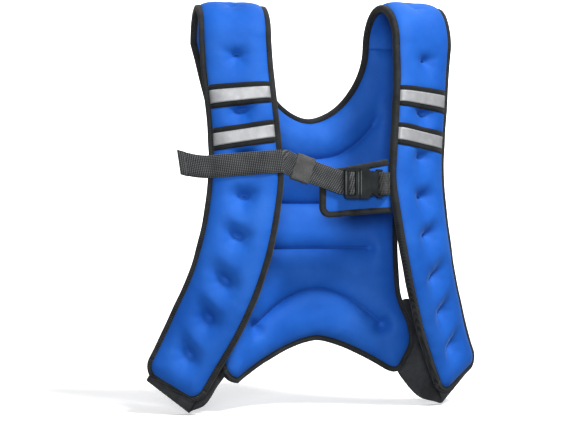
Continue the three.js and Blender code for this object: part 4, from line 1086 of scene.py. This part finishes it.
ROOT_X = float(binding_inner(STRAP_PATH + np.array([-1, -0.5, 0, 0.5, 1]) * WEBBING_WIDTH).min()) - CLEARANCE
LAYER = WEBBING_THICKNESS + CLEARANCE
LOAD_Y = float(pad_point(np.array([STRAP_PATH]), np.array([0.0]))[0][1])
TAIL_Y = LOAD_Y - LAYER
LADDER_BACK = TAIL_Y - WEBBING_THICKNESS / 2 - CLEARANCE
LADDER_FRONT = LADDER_BACK - LADDER_DEPTH
SLOT = 2 * WEBBING_THICKNESS
SLOT_ONE = BUCKLE_START + LADDER_BAR
MIDDLE = SLOT_ONE + SLOT
SLOT_TWO = MIDDLE + MIDDLE_BAR
HOUSING_END = BUCKLE_START + LADDER_LENGTH + CLEARANCE + HOUSING_LENGTH
STRAP_START = -ROOT_X + (WEBBING_WIDTH / 2) * STRAP_FALL / (BUCKLE_START + ROOT_X)
TURN = 1.4
BAR = CLEARANCE + WEBBING_THICKNESS / 2
TAIL_HEM = [(9, 1.44), (6, 1.6), (3, 1.6), (0.4, 1.44), (-0.5, 0.2)]  # back from the end, over the webbing


def strap_height(x):
    return STRAP_HEIGHT + STRAP_FALL * np.clip((BUCKLE_START - x) / (BUCKLE_START - STRAP_START), 0, 1)


def arc(x, y, radius, start, end, steps=8):
    angle = np.radians(np.linspace(start, end, steps))
    away = v3(np.cos(angle), np.sin(angle), 0)
    return v3(x, y, STRAP_HEIGHT) + away * radius, away


def straight_layer(start, end, y, side):
    x = np.linspace(start, end, 16)
    return v3(x, y, strap_height(x)), v3(x * 0, side, 0)


def tail_over_pad():
    path = SEAM - float(strap_height(STRAP_START))
    width = float(pad_width(path))
    side = np.linspace(-2 * REACH, width + TAIL_OVERHANG, 46)
    on_pad = np.clip(side, 0, width)
    around = path + np.linspace(-0.5, 0.5, 5) * WEBBING_WIDTH
    from_edge = np.minimum(on_pad, width - on_pad)
    smooth = PAD_HALF - 1.2 * (PAD_HALF - EDGE_HALF) * (1 - pillow(from_edge - 4, 18)) ** 1.3
    tallest = np.maximum(BOUND_HALF, smooth)
    for at in around:
        tallest = np.maximum(tallest, pad_half(on_pad * 0 + at, on_pad))
    kernel = np.array([1, 2, 3, 2, 1]) / 9
    tallest = np.convolve(np.pad(tallest, 2, mode="edge"), kernel, mode="valid")
    normal = pad_normal(on_pad * 0 + path, on_pad)
    point = pad_point(side * 0 + path, side) + normal * (tallest + 0.9 + WEBBING_THICKNESS / 2)[:, None]
    past = share_of(side - width, TAIL_OVERHANG)
    point[:, 2] += TAIL_RISE * past**1.7
    point[:, 1] += 3 * past**2
    return point * (-1, 1, 1), normal * (-1, 1, 1)


def strip_profile(width, thickness):
    """A flat strip with soft edges."""
    a, b = width / 2, thickness / 2
    upper = [(-a, 0.35 * b), (-a + 0.4, b), (-a / 2, b), (0, b), (a / 2, b), (a - 0.4, b), (a, 0.35 * b)]
    return upper + [(across, -out) for across, out in upper[::-1]]


def strip_piece(name, parts, node, material, lean=0):
    points, normals = apart(0.15, np.vstack([p for p, _ in parts]), np.vstack([n for _, n in parts]))
    along = direction(points)
    across = unit(np.cross(along, normals))
    normals = unit(np.cross(across, along))
    near_end = np.clip(1 - (lengths(points)[-1] - lengths(points)) / TAIL_OVERHANG, 0, 1)[:, None]
    across = across + along * lean * near_end * np.sign(across[:, 2:])
    profile = strip_profile(WEBBING_WIDTH, WEBBING_THICKNESS)
    made, faces = sweep(points, across, normals, profile)
    obj = piece(name, made, faces, material, line_uv(points, [a for a, _ in profile], 0.25))
    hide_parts(node)
    return points, across, normals


def make_strap():
    turn_load = arc(SLOT_TWO + BAR - TURN, LOAD_Y - TURN, TURN, 90, 0)
    turn_tail = arc(MIDDLE - BAR - TURN, TAIL_Y - TURN, TURN, 0, 90)
    over = (arc(SLOT_TWO, LADDER_FRONT, BAR, 0, -90), arc(MIDDLE, LADDER_FRONT, BAR, -90, -180))
    parts = [
        straight_layer(STRAP_START, SLOT_TWO + BAR - TURN - CLEARANCE, LOAD_Y, 1),
        turn_load,
        *over,
        (turn_tail[0], -turn_tail[1]),
        straight_layer(MIDDLE - BAR - TURN - CLEARANCE, STRAP_START + TAIL_START, TAIL_Y, -1),
        tail_over_pad(),
    ]
    points, across, normals = strip_piece("chest_strap_webbing", parts, "chest_strap", WEBBING, TAIL_LEAN)
    up, back = normals[-1], unit(points[-3] - points[-1])
    line = np.array([points[-1] + back * t + up * h for t, h in TAIL_HEM])
    count = (len(line), 1)
    made, faces = sweep(line, np.tile(across[-1], count), np.tile(up, count),
                        strip_profile(WEBBING_WIDTH + 0.2, 1.5))
    uv = line_uv(line, [a for a, _ in strip_profile(WEBBING_WIDTH, 1.5)])
    piece("chest_strap_folded_end", made, faces, WEBBING, uv)


def make_buckle_webbing():
    bar = HOUSING_END - END_BAR
    middle = LADDER_BACK - LADDER_DEPTH / 2
    front, back = middle - BUCKLE_DEPTH / 2, middle + BUCKLE_DEPTH / 2
    z = STRAP_HEIGHT
    first = np.array([
        [ROOT_X + 2, LOAD_Y - LAYER / 2, z],
        [ROOT_X, LOAD_Y - LAYER / 2, z],
        [mix(HOUSING_END, ROOT_X, 0.5), mix(front, LOAD_Y, 0.3), z],
    ])
    last = np.array([[HOUSING_END, back + BAR, z], [ROOT_X, LOAD_Y + LAYER / 2, z]])
    parts = [
        (first, np.tile([0.0, -1, 0], (3, 1))),
        (np.array([[HOUSING_END, front - BAR, z]]), np.array([[0.0, -1, 0]])),
        arc(bar, front, BAR, -90, -180),
        arc(bar, back, BAR, 180, 90),
        (last, np.tile([0.0, 1, 0], (2, 1))),
    ]
    # The loop's webbing is darkened: painted shade.
    strip_piece("buckle_webbing_loop", parts, "buckle_webbing", SHADED_WEBBING)


def make_keeper():
    """Elastic loop with small crosswise wrinkles."""
    half = WEBBING_WIDTH / 2 + 4 * CLEARANCE + KEEPER_WALL / 2
    depth = LAYER / 2 + WEBBING_THICKNESS / 2 + CLEARANCE + KEEPER_WALL / 2
    x = np.linspace(-KEEPER_LENGTH / 2, KEEPER_LENGTH / 2, 44)
    angle = np.linspace(0, math.tau, 65)[:-1]
    c, s = np.cos(angle), np.sin(angle)
    ring_y = depth * np.sign(s) * np.abs(s) ** 0.45
    ring_z = half * np.sign(c) * np.abs(c) ** 0.3
    xs, ys = np.meshgrid(x, ring_y, indexing="ij")
    zs = np.meshgrid(x, ring_z, indexing="ij")[1]
    wrinkle = 0.32 * waves(xs * 1.0, zs * 0.45, 31, 5.5) + 0.25 * waves(xs * 0.6, zs, 33, 9)
    out = unit(np.stack([xs * 0, ys / depth**2, zs / half**2], axis=-1))
    outer = np.stack([xs, ys, zs], axis=-1) + out * (KEEPER_WALL / 2 + wrinkle)[..., None]
    inner = np.stack([xs, ys, zs], axis=-1) - out * (KEEPER_WALL / 2 - 0.1)
    slope = math.atan(STRAP_FALL / (BUCKLE_START - STRAP_START))
    cos, sin = math.cos(slope), math.sin(slope)
    keeper_x = STRAP_START + KEEPER_START + KEEPER_LENGTH / 2
    centre = np.array([keeper_x, (LOAD_Y + TAIL_Y) / 2, float(strap_height(keeper_x))])

    rows, columns = xs.shape
    grid = np.vstack([outer.reshape(-1, 3), inner.reshape(-1, 3)])
    points = grid @ np.array([[cos, 0, -sin], [0, 1, 0], [sin, 0, cos]]) + centre
    index = np.arange(rows * columns).reshape(rows, columns)
    after, low = np.roll(index, -1, axis=1), rows * columns
    faces = quads(index, after).tolist() + (quads(index, after)[:, ::-1] + low).tolist()
    for row in (0, rows - 1):
        faces += [[a, b, b + low, a + low] for a, b in zip(index[row], after[row])]
    uv = np.stack([xs.ravel(), zs.ravel()], axis=1)
    obj = piece("strap_keeper_elastic", points, faces, ELASTIC, np.vstack([uv, uv]))
    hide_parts("strap_keeper")


# Flap behind the buckle
FLAP_Y = LOAD_Y + WEBBING_THICKNESS / 2 + FLAP_SPACE + FLAP_THICKNESS / 2


def flap_line():
    top, bottom = FLAP_TOP - REACH, FLAP_TOP - FLAP_HEIGHT + REACH
    root_top = (float(binding_inner(SEAM - top)) - FLAP_SLACK + 1.2, top)
    root_bottom = (float(binding_inner(SEAM - bottom)) - FLAP_SLACK + 1.2, bottom)
    free = ROOT_X - FLAP_REACH
    top_corner, bottom_corner = (free, top - FLAP_TOP_FALL), (free, bottom - FLAP_BOTTOM_FALL)

    def rounded(before, corner, after):
        return bend(towards(corner, before, FLAP_CORNER), corner, towards(corner, after, FLAP_CORNER), 10)

    first = rounded(root_bottom, bottom_corner, top_corner)
    second = rounded(bottom_corner, top_corner, root_top)
    start = mix(np.array(root_bottom), first[0], np.linspace(0, 1, 24)[:-1, None])
    side = mix(first[-1], second[0], np.linspace(0, 1, 14)[1:-1, None])
    end = mix(second[-1], np.array(root_top), np.linspace(0, 1, 24)[1:, None])
    return np.vstack([start, first, side, second, end])


def make_flap():
    line = flap_line()
    ring = spread(np.vstack([line, line[:1]]), 170)[:-1]
    grid = pattern((ring.min(axis=0), ring.max(axis=0)), 2.2)
    grid = grid[inside_of(ring, grid)]
    at, faces = triangulated(ring, grid[distance_to(np.vstack([ring, ring[:1]]), grid) > 1.3])
    x, z = at[:, 0], at[:, 1]
    filling = 1.1 * pillow(distance_to(line, at) - FILL_START, 12)
    half = FLAP_THICKNESS / 2 + filling + 0.25 * waves(x, z, 41, 24)
    points = np.vstack([v3(x, FLAP_Y - half, z), v3(x, FLAP_Y + half * 0.9, z)])
    obj = piece("buckle_flap_cloth", points, faces, CLOTH)
    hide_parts("buckle_flap")
    x, z = line[:, 0], line[:, 1]
    out = outward(line)
    nodes = (v3(x, FLAP_Y, z), v3(x * 0, -1, 0), v3(out[:, 0], 0, out[:, 1]))
    make_binding("flap_binding_fold", "flap_binding", [nodes], half=FLAP_THICKNESS / 2, seed=12)


# Side bands
def smooth_curve(points, steps):
    """A smooth curve through points, closer to each where they lie close together."""
    points = [np.array(p, float) for p in points]
    ext = [2 * points[0] - points[1], *points, 2 * points[-1] - points[-2]]
    found = []
    for k in range(steps + 1):
        t = (len(points) - 1) * k / steps
        i = min(int(t), len(points) - 2)
        w = t - i
        p0, p1, p2, p3 = ext[i:i + 4]
        d0, d1, d2 = (max(float(((b - a) ** 2).sum()) ** 0.25, 1e-4)
                      for a, b in ((p0, p1), (p1, p2), (p2, p3)))
        m1 = ((p1 - p0) / d0 - (p2 - p0) / (d0 + d1) + (p2 - p1) / d1) * d1
        m2 = ((p2 - p1) / d1 - (p3 - p1) / (d1 + d2) + (p3 - p2) / d2) * d1
        found.append(p1 + m1 * w + (-3 * p1 + 3 * p2 - 2 * m1 - m2) * w**2
                     + (2 * p1 - 2 * p2 + m1 + m2) * w**3)
    return np.array(found)


BAND_CURVE = [(0.85, 0.12), (1.0, 0.45), (0.95, 0.85)]
BAND_ROWS = 22
BAND_MARGIN = 0.08
BAND_SLACK = 0.9


def band_grid(armhole):
    width = float(pad_width(PAD_DROP))
    away = BOUND_HALF + BAND_SLACK + BAND_THICKNESS / 2
    sewn = spread(armhole[armhole[:, 1] < SEAM - BAND_TOP_DROP], BAND_ROWS)
    outs = outward(sewn)
    rows = []
    for k in range(BAND_ROWS + 1):
        share = k / BAND_ROWS
        across = width * mix(BAND_MARGIN, 1 - BAND_MARGIN, share)
        end = pad_point(PAD_DROP, across)
        normal = pad_normal(PAD_DROP - 1, across)
        down = unit(end - pad_point(PAD_DROP - EDGE_WIDTH, across))
        at, out = sewn[BAND_ROWS - k], outs[BAND_ROWS - k]

        def on_pad(below, behind):
            return end + down * below - normal * (away + behind)

        def on_wing(outside):
            x, z = at + out * outside
            thick = max(BOUND_HALF, float(back_half(np.array([[x, z]]))[0]) if outside < 0 else 0)
            return back_point(x, z) + back_normal(x, z) * (thick + BAND_SLACK + BAND_THICKNESS / 2)

        fold_share = mix(1, 0.5, share)
        fold = [on_pad(REACH + below * fold_share * BAND_FOLD, behind * BAND_FOLD)
                for below, behind in BAND_CURVE]
        leaving = on_wing(BAND_LAP) - v3(0, 0, BAND_DROOP * (1 - share))
        hanging = (fold[-1] + leaving) / 2
        hanging[2] -= BAND_SAG * (1 - share)
        rows.append(smooth_curve(
            [on_pad(-BAND_LAP, 0), on_pad(REACH, 0), *fold, hanging, leaving, on_wing(-BAND_LAP)], 60))
    return np.array(rows)


def make_bands():
    for (name, hand, armhole), hem in zip(SIDES, (left_hem, right_hem)):
        grid = band_grid(np.vstack([armhole, hem[1:4]]))
        half = unit(np.cross(np.gradient(grid, axis=0), np.gradient(grid, axis=1))) * BAND_THICKNESS / 2
        points, faces = slab(grid + half, grid - half)
        obj = piece(f"side_band_{name}_cloth", points, faces, BAND, hand=hand)
        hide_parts(f"side_band_{name}")
        width = max(lengths(column)[-1] for column in grid.swapaxes(0, 1)) * MM


# Buckle
def make_buckle():
    """The moulded halves keep their solids; raised rims in lighter plastic are added along the bars,
    standing for both wear and painted highlights on the edges.
    """
    ladder_end = BUCKLE_START + LADDER_LENGTH
    housing_front = LADDER_BACK - LADDER_DEPTH / 2 - BUCKLE_DEPTH / 2
    rims = [
        ("ladder_rim", BUCKLE_START + 0.9, LADDER_FRONT, 13.2, 0.75),
        ("ladder_rim_inner", ladder_end - 1.3, LADDER_FRONT, 13.2, 0.6),
        ("housing_rim", ladder_end + CLEARANCE + 0.8, housing_front, 13.6, 0.7),
        ("housing_end_rim", HOUSING_END - 0.8, housing_front, 12.2, 0.7),
    ]
    for name, x, y, half, radius in rims:
        z = np.concatenate([[-half], np.linspace(-half + radius, half - radius, 12), [half]])
        across, normal = v3(z * 0 + 1, 0, 0), v3(z * 0, -1, 0)
        shrink = np.where(np.abs(z) >= half, 0.35, 1)[:, None]
        made, faces = sweep(v3(x, y, STRAP_HEIGHT + z), across * shrink, normal * shrink,
                            oval(radius, radius, 12))
        piece(f"buckle_{name}", made, faces, RUBBED_AND_HIGHLIT)
    for node in ("buckle_ladder", "buckle_housing"):
        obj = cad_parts[node]
        obj.data.materials.clear()
        obj.data.materials.append(PLASTIC)
        bevel = obj.modifiers.new("rounded_edges", "BEVEL")
        bevel.width = 0.0009
        bevel.segments = 3
        bevel.limit_method = "ANGLE"
        bevel.angle_limit = math.radians(35)
        obj.modifiers.new("even_shading", "WEIGHTED_NORMAL").keep_sharp = True


make_pads()
make_back()
make_channel_seams()
make_bindings()
make_tapes()
make_tacks()
make_strap()
make_buckle_webbing()
make_keeper()
make_flap()
make_bands()
make_buckle()


# Floor, light and camera
FLOOR_HEIGHT = -0.4485
TURN_OF_VIEW = math.radians(18)
PHOTO_WIDTH, PHOTO_HEIGHT = 588, 441
FOCAL_PIXELS = 1565.2
VIEW_CENTRE = (317, 215)  # the optical axis in the photo, in pixels
CAMERA_AWAY = 1.8
CAMERA_HEIGHT = -0.2255
VEST_MIDDLE = 0.012  # where the camera's turn is centred, front to back


def make_floor():
    material = Surface("pale_floor").finished({
        "Base Color": (0.9, 0.9, 0.9, 1),
        "Roughness": 0.7,
        "Emission Color": (1, 1, 1, 1),
        "Emission Strength": 0.27,
    })
    bm = bmesh.new()
    profile = [(-2.5, FLOOR_HEIGHT), (2.0, FLOOR_HEIGHT)]
    profile += [(2.0 + math.sin(a), FLOOR_HEIGHT + 1 - math.cos(a))
                for a in np.linspace(0, math.pi / 2, 12)[1:]]
    profile += [(3.0, 4.0)]
    rows = [[bm.verts.new((x, y, z)) for x in (-5.0, 5.0)] for y, z in profile]
    for a, b in zip(rows, rows[1:]):
        bm.faces.new((a[0], a[1], b[1], b[0]))
    mesh = bpy.data.meshes.new("floor")
    bm.to_mesh(mesh)
    bm.free()
    mesh.shade_smooth()
    floor = linked("floor", mesh)
    floor.rotation_euler[2] = -TURN_OF_VIEW
    mesh.materials.append(material)
    floor.visible_diffuse = False
    floor.visible_glossy = False


def area_light(name, place, target, size, power):
    light = bpy.data.lights.new(name, "AREA")
    light.shape = "DISK"
    light.size = size
    light.energy = power
    obj = linked(name, light)
    obj.location = place
    obj.rotation_euler = (Vector(target) - Vector(place)).to_track_quat("-Z", "Y").to_euler()


def make_light():
    world = bpy.data.worlds.new("studio")
    bpy.context.scene.world = world
    world.use_nodes = True
    background = world.node_tree.nodes["Background"]
    background.inputs["Color"].default_value = (1.0, 1.0, 1.0, 1)
    background.inputs["Strength"].default_value = 0.4
    area_light("key", (1.1, -2.3, 3.0), (0, 0, -0.2), 1.0, 196)
    area_light("fill", (-1.3, -3.8, 0.35), (0, 0, -0.25), 1.2, 120)
    area_light("backdrop_wash", (1.0, 1.2, 1.8), (0.9, 2.9, 0.2), 1.6, 60)


def make_camera():
    camera = bpy.data.cameras.new("camera")
    camera.sensor_width = 36
    camera.lens = camera.sensor_width * FOCAL_PIXELS / PHOTO_WIDTH
    camera.shift_x = (PHOTO_WIDTH / 2 - VIEW_CENTRE[0]) / PHOTO_WIDTH
    camera.shift_y = (VIEW_CENTRE[1] - PHOTO_HEIGHT / 2) / PHOTO_WIDTH
    camera.clip_end = 20
    obj = linked("camera", camera)
    x = -CAMERA_AWAY * math.sin(TURN_OF_VIEW)
    obj.location = (x, VEST_MIDDLE - CAMERA_AWAY * math.cos(TURN_OF_VIEW), CAMERA_HEIGHT)
    obj.rotation_euler = (math.pi / 2, 0, -TURN_OF_VIEW)
    bpy.context.scene.camera = obj


make_floor()
make_light()
make_camera()
bpy.context.scene.view_settings.view_transform = "Standard"
bpy.context.scene.view_settings.gamma = 0.82
